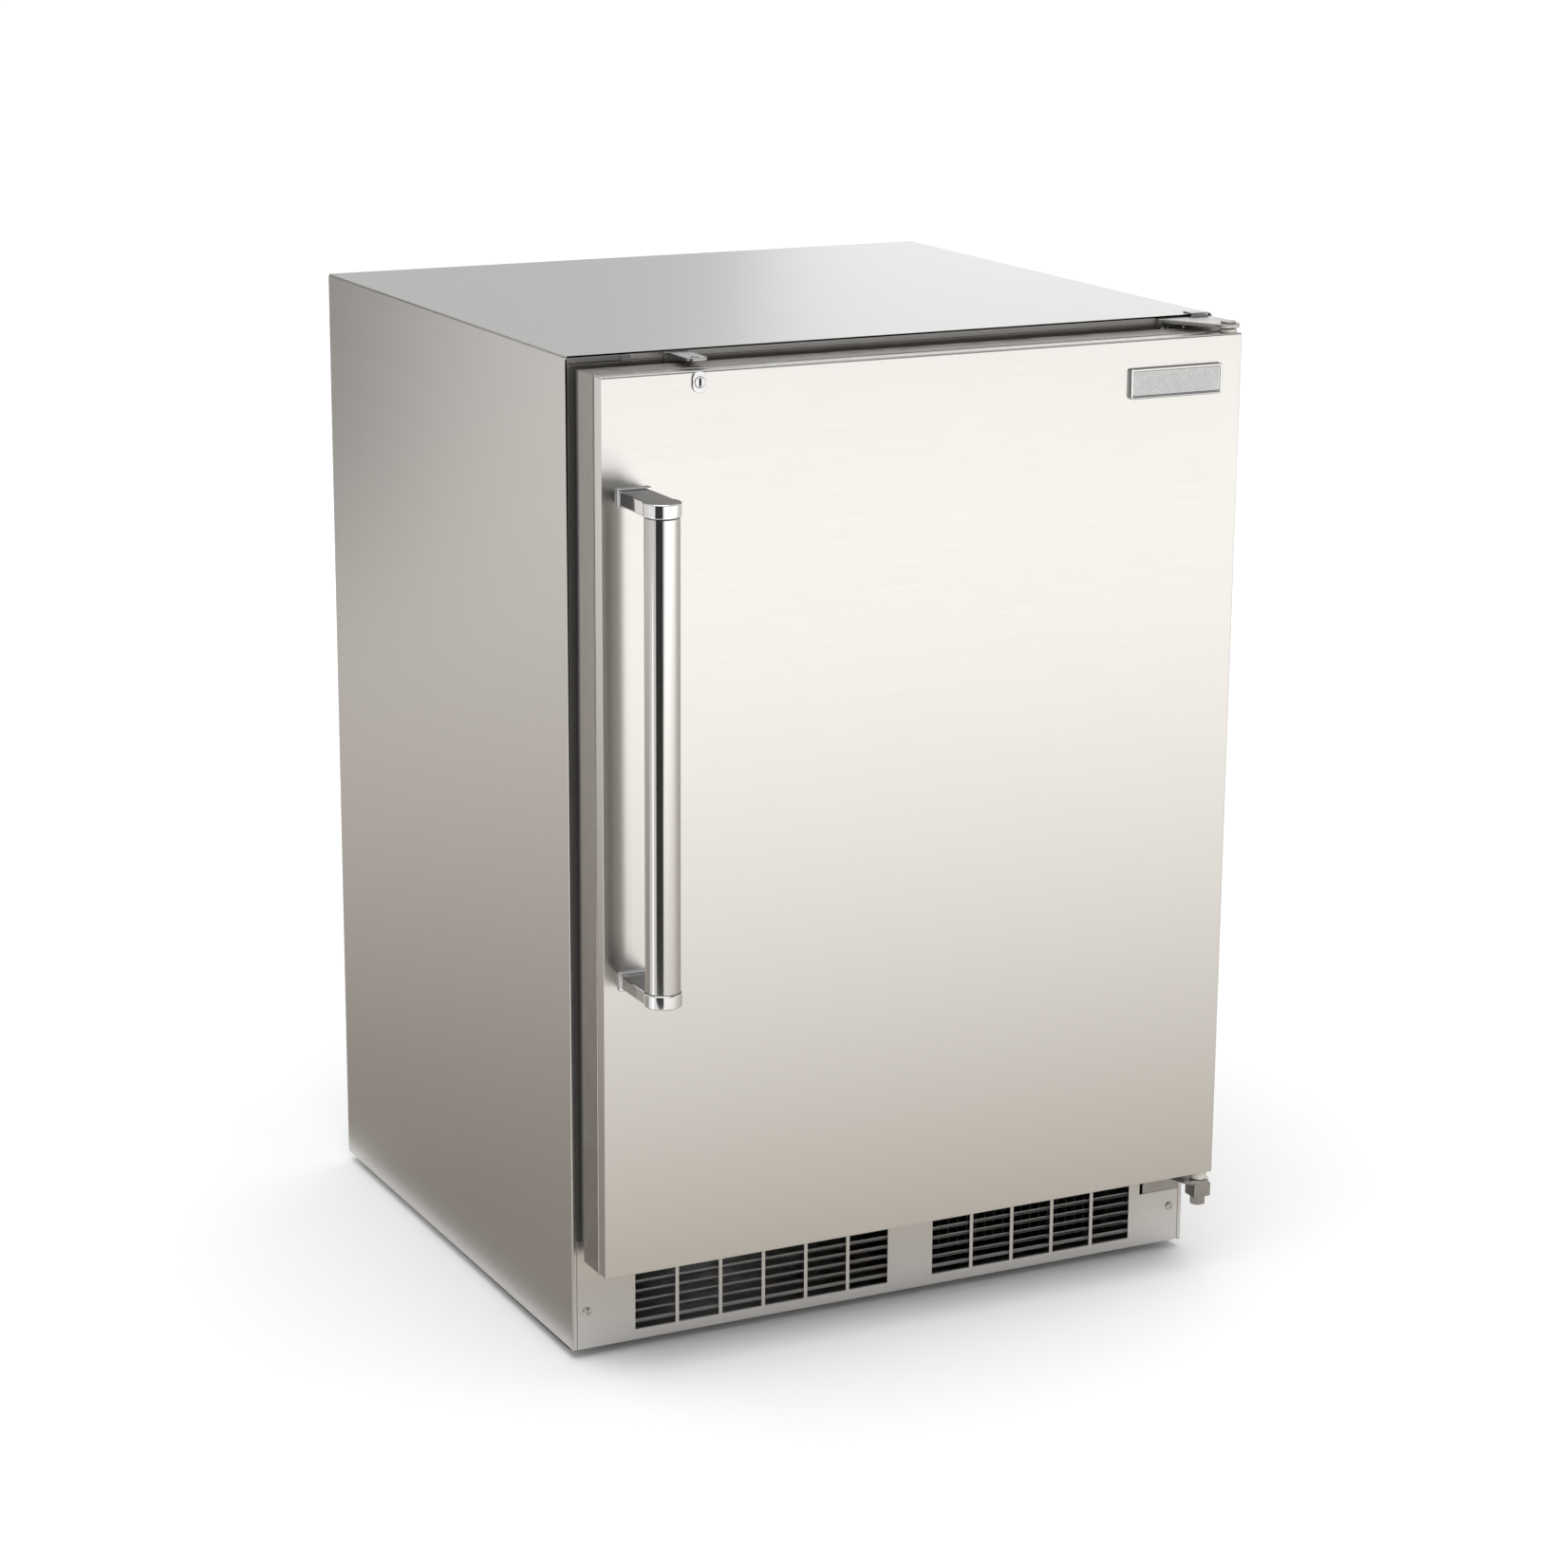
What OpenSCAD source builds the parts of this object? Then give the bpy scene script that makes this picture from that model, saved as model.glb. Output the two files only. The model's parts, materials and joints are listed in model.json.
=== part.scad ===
// Undercounter refrigerator with one solid door, hinged on the right.
// Millimetres, +Z up, the door faces -Y. The origin is on the floor, under the
// middle of the whole machine from its handle to the screw heads on its back.

/* [Cabinet] */
// Width over the side panels
cabinet_w = 606; // [596:1:630]
// Height of the cabinet from its bottom edge to its top panel
cabinet_h = 851; // [840:1:880]
// Depth from the front edge of the side panels to their back edge
cabinet_d = 545; // [540:1:580]
// Thickness of the outer steel sheet
sheet = 1; // [0.8:0.1:1.2]
// Height of a levelling foot that is screwed right in
foot_h = 8; // [7:1:12]
// Travel of a levelling foot
foot_travel = 20; // [10:1:25]

/* [Door] */
// Thickness of the door from its skin to its inner pan
door_t = 45; // [42:1:50]
// Gap between the closed door and the cabinet, filled by the gasket
door_gap = 12.2; // [11:0.1:14]
// How far the door's edges stand inside the cabinet's sides
door_inset = 5.2; // [5:0.1:7]
// Height of the door's lower edge above the cabinet's bottom edge
door_low = 85.3; // [84:0.1:88]
// Distance from the door's upper edge to the top of the cabinet
door_drop = 8.8; // [8:0.1:10]
// Depth of the stainless band round the door's edge
skin_edge = 14; // [12:1:18]

/* [Handle] */
// Diameter of the handle's tube
bar_d = 29; // [24:1:32]
// Overall length of the handle
handle_len = 413; // [300:1:450]
// Height of the handle's lower end above the cabinet's bottom edge
handle_low = 338; // [320:1:360]
// Distance from the door's face to the tube's centre
bar_stand = 55; // [50:1:60]
// Distance from the door's left edge to the tube's centre
bar_side = 27.8; // [25:0.1:32]

/* [Food compartment] */
// Thickness of the white liner
liner_t = 2; // [1.5:0.5:2.5]
// Inside width of the liner
cavity_w = 504; // [490:2:506]
// Height of the liner's floor above the cabinet's bottom edge
cavity_low = 132; // [132:1:140]
// Distance from the liner's ceiling to the top of the cabinet
cavity_drop = 51; // [50:1:60]
// Inside depth of the liner
cavity_d = 485; // [480:1:487]
// Number of shelf heights moulded into each side wall
rib_count = 8; // [7:1:8]
// Distance between two shelf heights
rib_pitch = 67.5; // [60:0.5:67.5]
// Number of wires in a shelf
shelf_wires = 21; // [15:2:27]

/* [Air grille] */
// Height of the kick plate
kick_h = 100; // [98:1:100]
// Rows of slots in the kick plate
slot_rows = 9; // [5:1:9]
// Height of one slot
slot_h = 5; // [4:0.1:5.4]
// Distance from one row of slots to the next
row_pitch = 8.8; // [8:0.1:8.8]

/* [Hidden] */
$fn = 48;

// Clearance between pieces that are fitted to each other
gap = 0.1;
// Clearance between a moving piece and what it passes
run_gap = 0.3;

// Cabinet: x from the middle, y back from the front edge, z up from the bottom edge
half_w = cabinet_w / 2;
panel_in = half_w - sheet;
front_edge = 4;
lip = 15;
edge_in = half_w - front_edge;
top_under = cabinet_h - sheet;
trim_h = 6;
trim_low = cabinet_h - trim_h;
trim_end = 247;
frame_t = 2;
bulkhead_t = 1;
fan_space_h = kick_h;
engine_h = 286;
engine_y = 345;
back_y = cabinet_d - 2 * sheet;
pan_z = sheet;
pan_t = 1.5;
pan_top = pan_z + pan_t;
access_h = 206;

// Whole machine: where the cabinet stands in the part's own frame
collar_r = bar_d / 2 + 1;
rear_head = 2;
reach = door_gap + door_t + bar_stand + collar_r;
front_y = -(cabinet_d + rear_head - reach) / 2;

// Food compartment
cavity_x = cavity_w / 2;
cavity_top = cabinet_h - cavity_drop;
hump_y = 300;
hump_z = 332;
rib_w = 8;
rib_t = 6;
rib_first = 215;
rib_front = 58;
rib_back = 432;
shelf_front = 90;
shelf_back = 430;
rod_r = 3;
wire_r = 1.6;
box_low = 770;
knob_x = 50;
knob_z = 785;
spindle_r = 3;

// Door
door_x = half_w - door_inset;
door_top = cabinet_h - door_drop;
door_back = -door_gap;
door_front = -door_gap - door_t;
pan_front = door_front + skin_edge;
pin_x = 289;
pin_y = door_front + 9.2;
pin_r = 4;
bush_r = 6;
door_sheet_x = 262;
door_sheet_low = 128;
door_sheet_top = 808;
dyke_x = 232;
dyke_low = 152;
dyke_top = 782;
dyke_y = 28;
door_sheet_t = 2.5;
rack_x = 222;
rack_y = 55;
racks = [[170, 80], [430, 62], [640, 62]];

// Handle
bar_x = -door_x + bar_side;
bar_y = door_front - bar_stand;
arm_t = 12;
handle_top = handle_low + handle_len;

// Lock
lock_x = -212.3;
lock_z = door_top - 9;
bolt_x = -205;
bolt_y = door_front + 24;
bolt_r = 3;
bolt_top = door_top - 0.7;
strike_z = trim_low + 2;

// Screws: [x, z] on the cabinet's front
small_hole_r = 2.1;
hinge_hole_r = 2.5;
hinge_top_screws = [[254, trim_low - 6], [270, trim_low - 6]];
hinge_low_screws = [[268, 88], [284, 88]];
strike_screws = [[-211, trim_low - 9], [-199, trim_low - 9]];
kick_screw_x = 290;
kick_screw_z = 34;
rear_screws = [[-276, 16], [276, 16], [-276, 198], [276, 198]];

// Cooling
comp_x = -110;
comp_y = 445;
comp_r = 82;
comp_z = 18;
comp_h = 178;
mount_dx = 80;
mount_dy = 62;
coil_x0 = 20;
coil_x1 = 236;
coil_y0 = 30;
coil_y1 = 86;
cond_fan_x = (coil_x0 + coil_x1) / 2;
cond_fan_z = 51;
cond_fan_r = 36;
motor_boss_r = 5.8;
evap_fan_z = 660;
evap_fan_r = 42;
drain_x = 150;
drain_y = 465;
drain_r = 8;
tube_r = 4;
capillary_r = 1.5;
drier_x = 220;
drier_z = 26;
hot_x = 60;
hot_z = 80;
pipe_xs = [100, 112];
pipe_y = 515;
pipe_z = 455;
pipe_hole_r = 5;
inlet_x = 230;
inlet_w = 32;
inlet_low = 60;
inlet_top = 84;
foot_x = 255;
foot_ys = [62, 490];
stud_r = 4;

suction_run = [
    [pipe_xs[0], 478, pipe_z], [pipe_xs[0], pipe_y, pipe_z], [pipe_xs[0], pipe_y, 140],
    [pipe_xs[0], comp_y, 140], [comp_x + comp_r, comp_y, 140]
];
discharge_run = [
    [comp_x, comp_y - comp_r, hot_z], [comp_x, 200, hot_z], [hot_x, 200, hot_z],
    [hot_x, coil_y1 + 6, hot_z]
];
liquid_run = [[drier_x, coil_y1 + 6, drier_z], [drier_x, 200, drier_z], [drier_x, 240, drier_z]];
capillary_run = [
    [drier_x, 340, drier_z], [drier_x, 532, drier_z], [pipe_xs[1], 532, drier_z],
    [pipe_xs[1], 532, 200], [pipe_xs[1], pipe_y, 200], [pipe_xs[1], pipe_y, pipe_z],
    [pipe_xs[1], 478, pipe_z]
];

// Moves a piece from the cabinet's own measures into the part's frame
module in_cabinet() {
    translate([0, front_y, foot_h]) children();
}

// A box from its lowest corner to its highest
module slab(low, high) {
    translate(low) cube(high - low);
}

// A flat ring in the front plane, the same on the left and the right
module ring(y0, y1, out_x, out_low, out_top, in_x, in_low, in_top) {
    difference() {
        slab([-out_x, y0, out_low], [out_x, y1, out_top]);
        slab([-in_x, y0 - 1, in_low], [in_x, y1 + 1, in_top]);
    }
}

// A round bar along Y, pointing to the front from y1 to y0
module bar_along_y(x, z, y0, y1, r) {
    translate([x, y1, z]) rotate([90, 0, 0]) cylinder(r = r, h = y1 - y0);
}

// A round bar between two points
module rod(a, b, r) {
    v = b - a;
    length = norm(v);
    translate(a) rotate([0, acos(v.z / length), atan2(v.y, v.x)]) cylinder(r = r, h = length);
}

// A tube run along its points, with a swelling at each bend
module tube_run(points, r) {
    for (i = [0 : len(points) - 2]) rod(points[i], points[i + 1], r);
    for (i = [1 : len(points) - 2]) translate(points[i]) sphere(r = r * 1.2);
}

// Pan-head screws through the cabinet's front, heads towards the door
module front_screws(places, face_y, head_r, head_h, shank_r, depth) {
    for (p = places) {
        difference() {
            union() {
                bar_along_y(p.x, p.y, face_y - head_h, face_y, head_r);
                bar_along_y(p.x, p.y, face_y - head_h / 2, face_y + depth, shank_r);
            }
            for (turn = [0, 90]) {
                translate([p.x, face_y - head_h, p.y]) rotate([0, turn, 0])
                    cube([head_r * 1.1, head_h * 0.9, 1.1], center = true);
            }
        }
    }
}

module front_holes(places, r, y0, y1) {
    for (p = places) bar_along_y(p.x, p.y, y0, y1, r);
}

// An outline in Y and Z, drawn out to both sides of the middle
module across(outline, half) {
    translate([-half, 0, 0]) rotate([90, 0, 90]) linear_extrude(2 * half) polygon(outline);
}

// ---- Cabinet shell ----

module side_panel() {
    front_tab_x = 262;
    difference() {
        union() {
            slab([-half_w, 0, 0], [-panel_in, cabinet_d, top_under]);
            slab([-half_w, 0, 0], [-edge_in, sheet, trim_low]);
            slab([-half_w, cabinet_d - sheet, 0], [-half_w + lip, cabinet_d, top_under]);
            slab([-half_w, 4, top_under - sheet], [-half_w + lip, cabinet_d, top_under]);
            slab([-half_w, 4, 0], [-half_w + lip, cabinet_d, sheet]);
            slab([-half_w, 1.2, 10], [-front_tab_x, 2.7, kick_h - 1.5]);
        }
        front_holes([[-kick_screw_x, kick_screw_z]], small_hole_r, -1, 4);
        front_holes([for (p = hinge_low_screws) [-p.x, p.y]], hinge_hole_r, -1, 4);
    }
}

module side_panel_left() {
    color("silver") in_cabinet() side_panel();
}

module side_panel_right() {
    color("silver") in_cabinet() mirror([1, 0, 0]) side_panel();
}

module top_panel() {
    seam = 0.6;
    color("silver") in_cabinet() {
        slab([-half_w + seam, 0, top_under], [half_w - seam, cabinet_d, cabinet_h]);
        slab([-trim_end, 0, trim_low], [trim_end, sheet, top_under + sheet / 2]);
    }
}

module back_panel() {
    color("darkgray") in_cabinet() difference() {
        slab([-panel_in + gap, back_y, 190], [panel_in - gap, back_y + sheet, top_under - sheet]);
        front_holes(rear_screws, small_hole_r, back_y - 1, cabinet_d);
    }
}

module face_frame() {
    color("dimgray") in_cabinet() difference() {
        ring(0, frame_t, edge_in - gap, kick_h + 0.2, trim_low - gap, cavity_x, cavity_low, cavity_top);
        front_holes(hinge_top_screws, hinge_hole_r, -1, 4);
        front_holes(strike_screws, small_hole_r, -1, 4);
    }
}

module foam_insulation() {
    foam_front = 2 * frame_t;
    outline = [
        [foam_front, fan_space_h + bulkhead_t], [engine_y - bulkhead_t, fan_space_h + bulkhead_t],
        [engine_y - bulkhead_t, engine_h + bulkhead_t], [back_y, engine_h + bulkhead_t],
        [back_y, top_under - sheet], [foam_front, top_under - sheet]
    ];
    color("khaki") in_cabinet() difference() {
        across(outline, panel_in);
        across(liner_outline(liner_t), cavity_x + liner_t);
        front_holes(hinge_top_screws, hinge_hole_r + gap, 0, 14);
        front_holes(strike_screws, small_hole_r + gap, 0, 14);
        tube_run(suction_run, tube_r + 0.5);
        tube_run(capillary_run, capillary_r + 0.5);
        translate([drain_x, drain_y, 200]) cylinder(r = drain_r + gap, h = 200);
    }
}

// Section of the liner in Y and Z, moved outwards by t
function liner_outline(t) = [
    [frame_t, cavity_low - t], [frame_t, cavity_top + t], [cavity_d + t, cavity_top + t],
    [cavity_d + t, hump_z - t], [hump_y + t, hump_z - t], [hump_y + t, cavity_low - t]
];

module inner_liner() {
    flange = 33;
    rib_end = 6.7;
    color("white") in_cabinet() {
        difference() {
            union() {
                across(liner_outline(liner_t), cavity_x + liner_t);
                slab([-cavity_x - flange, frame_t, cavity_low - 20],
                     [cavity_x + flange, 2 * frame_t, cavity_top + 28]);
            }
            translate([0, -1, 0]) across(liner_outline(0), cavity_x);
            across(liner_outline(0), cavity_x);
            translate([drain_x, drain_y, hump_z - 10]) cylinder(r = drain_r + gap, h = 20);
            for (x = pipe_xs) rod([x, cavity_d - 5, pipe_z], [x, cavity_d + 5, pipe_z], pipe_hole_r);
        }
        for (side = [-1, 1]) for (i = [0 : rib_count - 1]) {
            z = rib_first + i * rib_pitch;
            y_end = z < hump_z ? hump_y : rib_back;
            x_wall = side * (cavity_x + liner_t / 2);
            x_face = side * (cavity_x - rib_w);
            slab([min(x_wall, x_face), rib_front, z - rib_t], [max(x_wall, x_face), y_end, z]);
            slab([min(x_wall, x_face), rib_front, z - rib_t],
                 [max(x_wall, x_face), rib_front + rib_end, z + rib_t]);
        }
    }
}

module compartment_liner() {
    outline = [
        [4, fan_space_h], [engine_y, fan_space_h], [engine_y, engine_h], [back_y, engine_h],
        [back_y, engine_h + bulkhead_t], [engine_y - bulkhead_t, engine_h + bulkhead_t],
        [engine_y - bulkhead_t, fan_space_h + bulkhead_t], [4, fan_space_h + bulkhead_t]
    ];
    color("lightgray") in_cabinet() difference() {
        across(outline, panel_in - gap);
        translate([drain_x, drain_y, engine_h - 5]) cylinder(r = drain_r + gap, h = 10);
        for (x = pipe_xs) translate([x, pipe_y, engine_h - 5]) cylinder(r = pipe_hole_r, h = 10);
    }
}

module base_pan() {
    lip_h = 30;
    nut_h = 7;
    color("darkgray") in_cabinet() difference() {
        union() {
            slab([-panel_in + gap, 4, pan_z], [panel_in - gap, back_y, pan_top]);
            slab([-half_w + lip + 2, back_y - 0.5, pan_z], [half_w - lip - 2, back_y + sheet, lip_h]);
            slab([-edge_in + 20, 4, pan_z], [edge_in - 20, 4 + pan_t, 9]);
            for (side = [-1, 1]) {
                lip_x = side * (panel_in - gap);
                in_x = lip_x - side * pan_t;
                slab([min(lip_x, in_x), 6, pan_z], [max(lip_x, in_x), back_y - 1, lip_h]);
            }
            for (x = [-foot_x, foot_x]) for (y = foot_ys) {
                translate([x, y, pan_z]) cylinder(r = 8, h = nut_h, $fn = 6);
            }
        }
        for (x = [-foot_x, foot_x]) for (y = foot_ys) {
            translate([x, y, -1]) cylinder(r = stud_r + 0.08, h = 20);
        }
        front_holes(rear_screws, small_hole_r, back_y - 3, cabinet_d);
    }
}

// ---- Kick plate and front brackets ----

module kick_plate() {
    plate_t = 1.2;
    slot_w = 37.7;
    slot_pitch = 41.2;
    first_row = 10;
    groups = [[-244.6, 6], [44, 5]];
    notch_x = 258;
    notch_z = 50;
    color("silver") in_cabinet() difference() {
        union() {
            slab([-edge_in + gap, 0, 0.5], [edge_in - gap, plate_t, kick_h]);
            slab([-edge_in + 14, 0, 0.5], [edge_in - 14, 2.9, 1.7]);
            slab([-edge_in + 3, 0, kick_h - 1.2], [edge_in - 3, 3.5, kick_h]);
        }
        for (g = groups) for (c = [0 : g.y - 1]) for (r = [0 : slot_rows - 1]) {
            x = g.x + c * slot_pitch;
            z = first_row + r * row_pitch;
            slab([x, -1, z], [x + slot_w, plate_t + 1, z + slot_h]);
        }
        slab([notch_x, -1, notch_z], [half_w, 5, kick_h + 1]);
        front_holes([[-kick_screw_x, kick_screw_z], [kick_screw_x, kick_screw_z]], small_hole_r, -1, 3);
    }
}

module kick_plate_screws() {
    color("gainsboro") in_cabinet()
        front_screws([[-kick_screw_x, kick_screw_z], [kick_screw_x, kick_screw_z]], 0, 4, 2.2, 2, 8);
}

// A filler over the unused hinge seat on the left, and the end block beside the hinge
module hinge_hole_cover() {
    block_w = 8;
    color("gray") in_cabinet() {
        slab([-half_w + 1, -0.8, trim_low + 0.3], [-trim_end - gap, 3, top_under - 0.3]);
        slab([-trim_end - gap - block_w, -3, trim_low - 0.5], [-trim_end - gap, -0.8, top_under - 0.3]);
    }
}

module strike_bracket() {
    plate = 2.5;
    x0 = -217;
    x1 = -193;
    nose = bolt_y - 9;
    color("lightgray") in_cabinet() difference() {
        union() {
            slab([x0, -plate + 0.5, trim_low - 14], [x1, 0, strike_z + plate]);
            slab([x0 + 3, nose + 4, strike_z], [x1 - 3, 0, strike_z + plate]);
            slab([x0 + 6, nose, strike_z], [x1 - 6, nose + 5, strike_z + plate]);
        }
        translate([bolt_x, bolt_y, strike_z - 1]) cylinder(r = bolt_r + 0.5, h = 5);
        front_holes(strike_screws, small_hole_r, -5, 1);
    }
}

module bracket_screws() {
    color("gainsboro") in_cabinet() {
        front_screws(hinge_top_screws, -2.5, 4.2, 2, 2.4, 14);
        front_screws(hinge_low_screws, -1.8, 4.2, 2, 2.4, 8);
        front_screws(strike_screws, -2, 3.8, 1.8, 2, 12);
    }
}

module top_hinge_plate() {
    x0 = 247;
    x1 = 299;
    plate = 3.5;
    z0 = trim_low + 1;
    top_tab = 1.5;
    color("silver") in_cabinet() difference() {
        union() {
            polygon_leaf(x0 + 2, x1, z0, plate);
            slab([x0, -2.5, trim_low - 14], [x1, 0, z0 + plate]);
            slab([x0, -5, trim_low - 1], [x0 + 9, -0.5, z0 + plate]);
            slab([281, -2.5, z0], [298, 0, cabinet_h + top_tab]);
            slab([281, -2.5, cabinet_h], [298, 12, cabinet_h + top_tab]);
        }
        translate([pin_x, pin_y, z0 - 5]) cylinder(r = pin_r, h = 20);
        front_holes(hinge_top_screws, hinge_hole_r, -6, 1);
    }
}

// A hinge leaf as a plain polygon, with its corners cut back round the pin
module polygon_leaf(x0, x1, z0, plate) {
    nose_y = pin_y - 8;
    translate([0, 0, z0]) linear_extrude(plate) polygon([
        [x0, 0], [x1, 0], [x1 + 1, -12], [x1 + 1, pin_y], [x1 - 3, nose_y + 1], [x1 - 7, nose_y],
        [pin_x - 5, nose_y], [pin_x - 11, nose_y + 3], [pin_x - 15, nose_y + 9], [x0, -6]
    ]);
}

module bottom_hinge_bracket() {
    x0 = 260;
    x1 = 298.7;
    plate = 4;
    z0 = 74;
    boss_h = 12;
    boss_w = 17;
    color("darkgray") in_cabinet() difference() {
        union() {
            polygon_leaf(x0 + 2, x1, z0, plate);
            slab([x0, -1.8, 51], [x1, 1.2, kick_h - 1.6]);
            slab([pin_x - boss_w / 2, pin_y - 8, z0 - boss_h], [pin_x + boss_w / 2, pin_y + 8, z0 + 1]);
        }
        translate([pin_x, pin_y, z0 - 20]) cylinder(r = pin_r, h = 40);
        front_holes(hinge_low_screws, hinge_hole_r, -6, 2);
    }
}

module hinge_pins() {
    top_head_z = trim_low + 4.5;
    color("gray") in_cabinet() {
        translate([pin_x, pin_y, door_top - 16]) cylinder(r = pin_r, h = top_head_z - door_top + 16);
        translate([pin_x, pin_y, top_head_z]) cylinder(r = 6.5, h = 2);
        translate([pin_x, pin_y, 53]) cylinder(r = pin_r, h = door_low + 16 - 53);
        translate([pin_x, pin_y, 54]) cylinder(r = 7.5, h = 8, $fn = 6);
    }
}

// ---- Machine compartment ----

// Half section of the compressor's shell: a drum with elliptical ends
function drum_section(r, low, high, dome) = concat(
    [[0, low]],
    [for (a = [-80 : 16 : 0]) [r * cos(a), low + dome + dome * sin(a)]],
    [for (a = [0 : 16 : 80]) [r * cos(a), high - dome + dome * sin(a)]],
    [[0, high]]
);

module compressor() {
    wall = 6;
    dome = 42;
    plate_t = 4;
    seam_z = comp_z + comp_h / 2;
    color([0.08, 0.08, 0.09]) in_cabinet() {
        translate([comp_x, comp_y, 0]) difference() {
            union() {
                rotate_extrude() polygon(drum_section(comp_r, comp_z, comp_z + comp_h, dome));
                translate([0, 0, seam_z]) cylinder(r = comp_r + 2.5, h = 5);
            }
            rotate_extrude()
                polygon(drum_section(comp_r - wall, comp_z + wall, comp_z + comp_h - wall, dome));
        }
        difference() {
            slab([comp_x - 95, comp_y - 76, comp_z - plate_t], [comp_x + 95, comp_y + 76, comp_z + 0.5]);
            at_mounts() cylinder(r = 6, h = 40);
        }
    }
}

module at_mounts() {
    for (dx = [-mount_dx, mount_dx]) for (dy = [-mount_dy, mount_dy]) {
        translate([comp_x + dx, comp_y + dy, 0]) children();
    }
}

module compressor_mounts() {
    color("black") in_cabinet() at_mounts() difference() {
        union() {
            translate([0, 0, pan_top]) cylinder(r = 10, h = comp_z - 4 - pan_top);
            translate([0, 0, pan_top]) cylinder(r = 5.9, h = comp_z + 3 - pan_top);
            translate([0, 0, comp_z + 0.5]) cylinder(r = 9, h = 3);
        }
        cylinder(r = 3.1, h = 40);
    }
}

module compressor_bolts() {
    color("gainsboro") in_cabinet() at_mounts() {
        translate([0, 0, pan_top]) cylinder(r = 3, h = comp_z + 10 - pan_top);
        translate([0, 0, comp_z + 3.5]) cylinder(r = 8, h = 1.2);
        translate([0, 0, comp_z + 4.7]) cylinder(r = 6, h = 4, $fn = 6);
    }
}

module terminal_cover() {
    color("black") in_cabinet() difference() {
        slab([comp_x + comp_r - 16, comp_y - 25, 62], [comp_x + comp_r + 22, comp_y + 25, 100]);
        translate([comp_x, comp_y, 50]) cylinder(r = comp_r + 0.3, h = 60);
        translate([comp_x + comp_r - 20, comp_y - 22, 65]) cube([39, 44, 32]);
    }
}

module condenser_coil() {
    fins = 24;
    fin_w = 0.8;
    tube_rows = [18, 40, 62, 84];
    tube_ys = [44, 72];
    end_out = 8;
    color([0.72, 0.45, 0.3]) in_cabinet() {
        for (i = [0 : fins - 1]) {
            x = coil_x0 + i * (coil_x1 - coil_x0 - fin_w) / (fins - 1);
            slab([x, coil_y0, 8], [x + fin_w, coil_y1, 94]);
        }
        for (z = tube_rows) for (y = tube_ys) {
            rod([coil_x0 - end_out, y, z], [coil_x1 + end_out, y, z], 3.5);
        }
        for (z = tube_rows) for (x = [coil_x0 - end_out, coil_x1 + end_out]) {
            rod([x, tube_ys[0], z], [x, tube_ys[1], z], 3.4);
        }
    }
}

module condenser_fan_shroud() {
    y0 = coil_y1 + 1;
    bar_low = cond_fan_z - 10;
    bar_top = cond_fan_z + 10;
    arm_out = 52;
    arm_w = 6;
    color([0.15, 0.15, 0.16]) in_cabinet() difference() {
        union() {
            slab([coil_x0, y0, 6], [coil_x1, y0 + 2, 96]);
            bar_along_y(cond_fan_x, cond_fan_z, y0, y0 + 18, cond_fan_r + 4);
            for (x = [cond_fan_x - arm_out, cond_fan_x + arm_out - arm_w]) {
                slab([x, y0, bar_low], [x + arm_w, y0 + 34, bar_top]);
            }
            slab([cond_fan_x - arm_out, y0 + 31, bar_low], [cond_fan_x + arm_out, y0 + 34, bar_top]);
        }
        bar_along_y(cond_fan_x, cond_fan_z, y0 - 1, y0 + 19, cond_fan_r + 2);
        bar_along_y(cond_fan_x, cond_fan_z, y0 + 20, y0 + 40, motor_boss_r + 0.2);
        rod([hot_x, y0 - 8, hot_z], [hot_x, y0 + 8, hot_z], tube_r + 0.5);
        rod([drier_x, y0 - 8, drier_z], [drier_x, y0 + 8, drier_z], tube_r + 0.5);
    }
}

// A small motor with a shaft towards the front
module fan_motor(x, z, y0, r, depth, shaft) {
    bar_along_y(x, z, y0, y0 + depth, r);
    bar_along_y(x, z, y0 - 4, y0 + 1, motor_boss_r);
    bar_along_y(x, z, y0 - shaft, y0 + 1, 2);
}

module condenser_fan_motor() {
    color("dimgray") in_cabinet() fan_motor(cond_fan_x, cond_fan_z, coil_y1 + 35, 19, 30, 24);
}

// Hub and pitched blades, the hub's bore along Y
module fan_wheel(x, z, y0, depth, hub_r, tip_r, blades) {
    blade_t = 1.2;
    pitch = 28;
    difference() {
        union() {
            bar_along_y(x, z, y0, y0 + depth, hub_r);
            intersection() {
                bar_along_y(x, z, y0, y0 + depth, tip_r);
                for (i = [0 : blades - 1]) {
                    translate([x, y0 + depth / 2, z]) rotate([0, i * 360 / blades, 0])
                        translate([0, 0, tip_r / 2]) rotate([0, 0, 90 - pitch])
                        cube([blade_t, tip_r * 0.72, tip_r * 1.1], center = true);
                }
            }
        }
        bar_along_y(x, z, y0 - 1, y0 + depth + 1, 2.05);
    }
}

module condenser_fan_blade() {
    color("gray") in_cabinet() fan_wheel(cond_fan_x, cond_fan_z, coil_y1 + 14, 14, 9, cond_fan_r, 5);
}

module filter_drier() {
    color([0.72, 0.45, 0.3]) in_cabinet() {
        bar_along_y(drier_x, drier_z, 250, 320, 10);
        for (end = [[240, 250, tube_r, 10], [320, 340, 10, tube_r]]) {
            translate([drier_x, end.x, drier_z]) rotate([-90, 0, 0])
                cylinder(r1 = end.z, r2 = end[3], h = end.y - end.x);
        }
    }
}

module refrigerant_tubes() {
    color([0.78, 0.47, 0.3]) in_cabinet() {
        tube_run(suction_run, tube_r);
        tube_run(discharge_run, tube_r - 0.5);
        tube_run(liquid_run, tube_r - 0.5);
        tube_run(capillary_run, capillary_r);
    }
}

module drain_pan() {
    wall = 1.5;
    low = [40, 380, pan_top];
    high = [240, 520, 24];
    color("black") in_cabinet() difference() {
        slab(low, high);
        slab(low + [wall, wall, wall], high + [-wall, -wall, 1]);
    }
}

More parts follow.
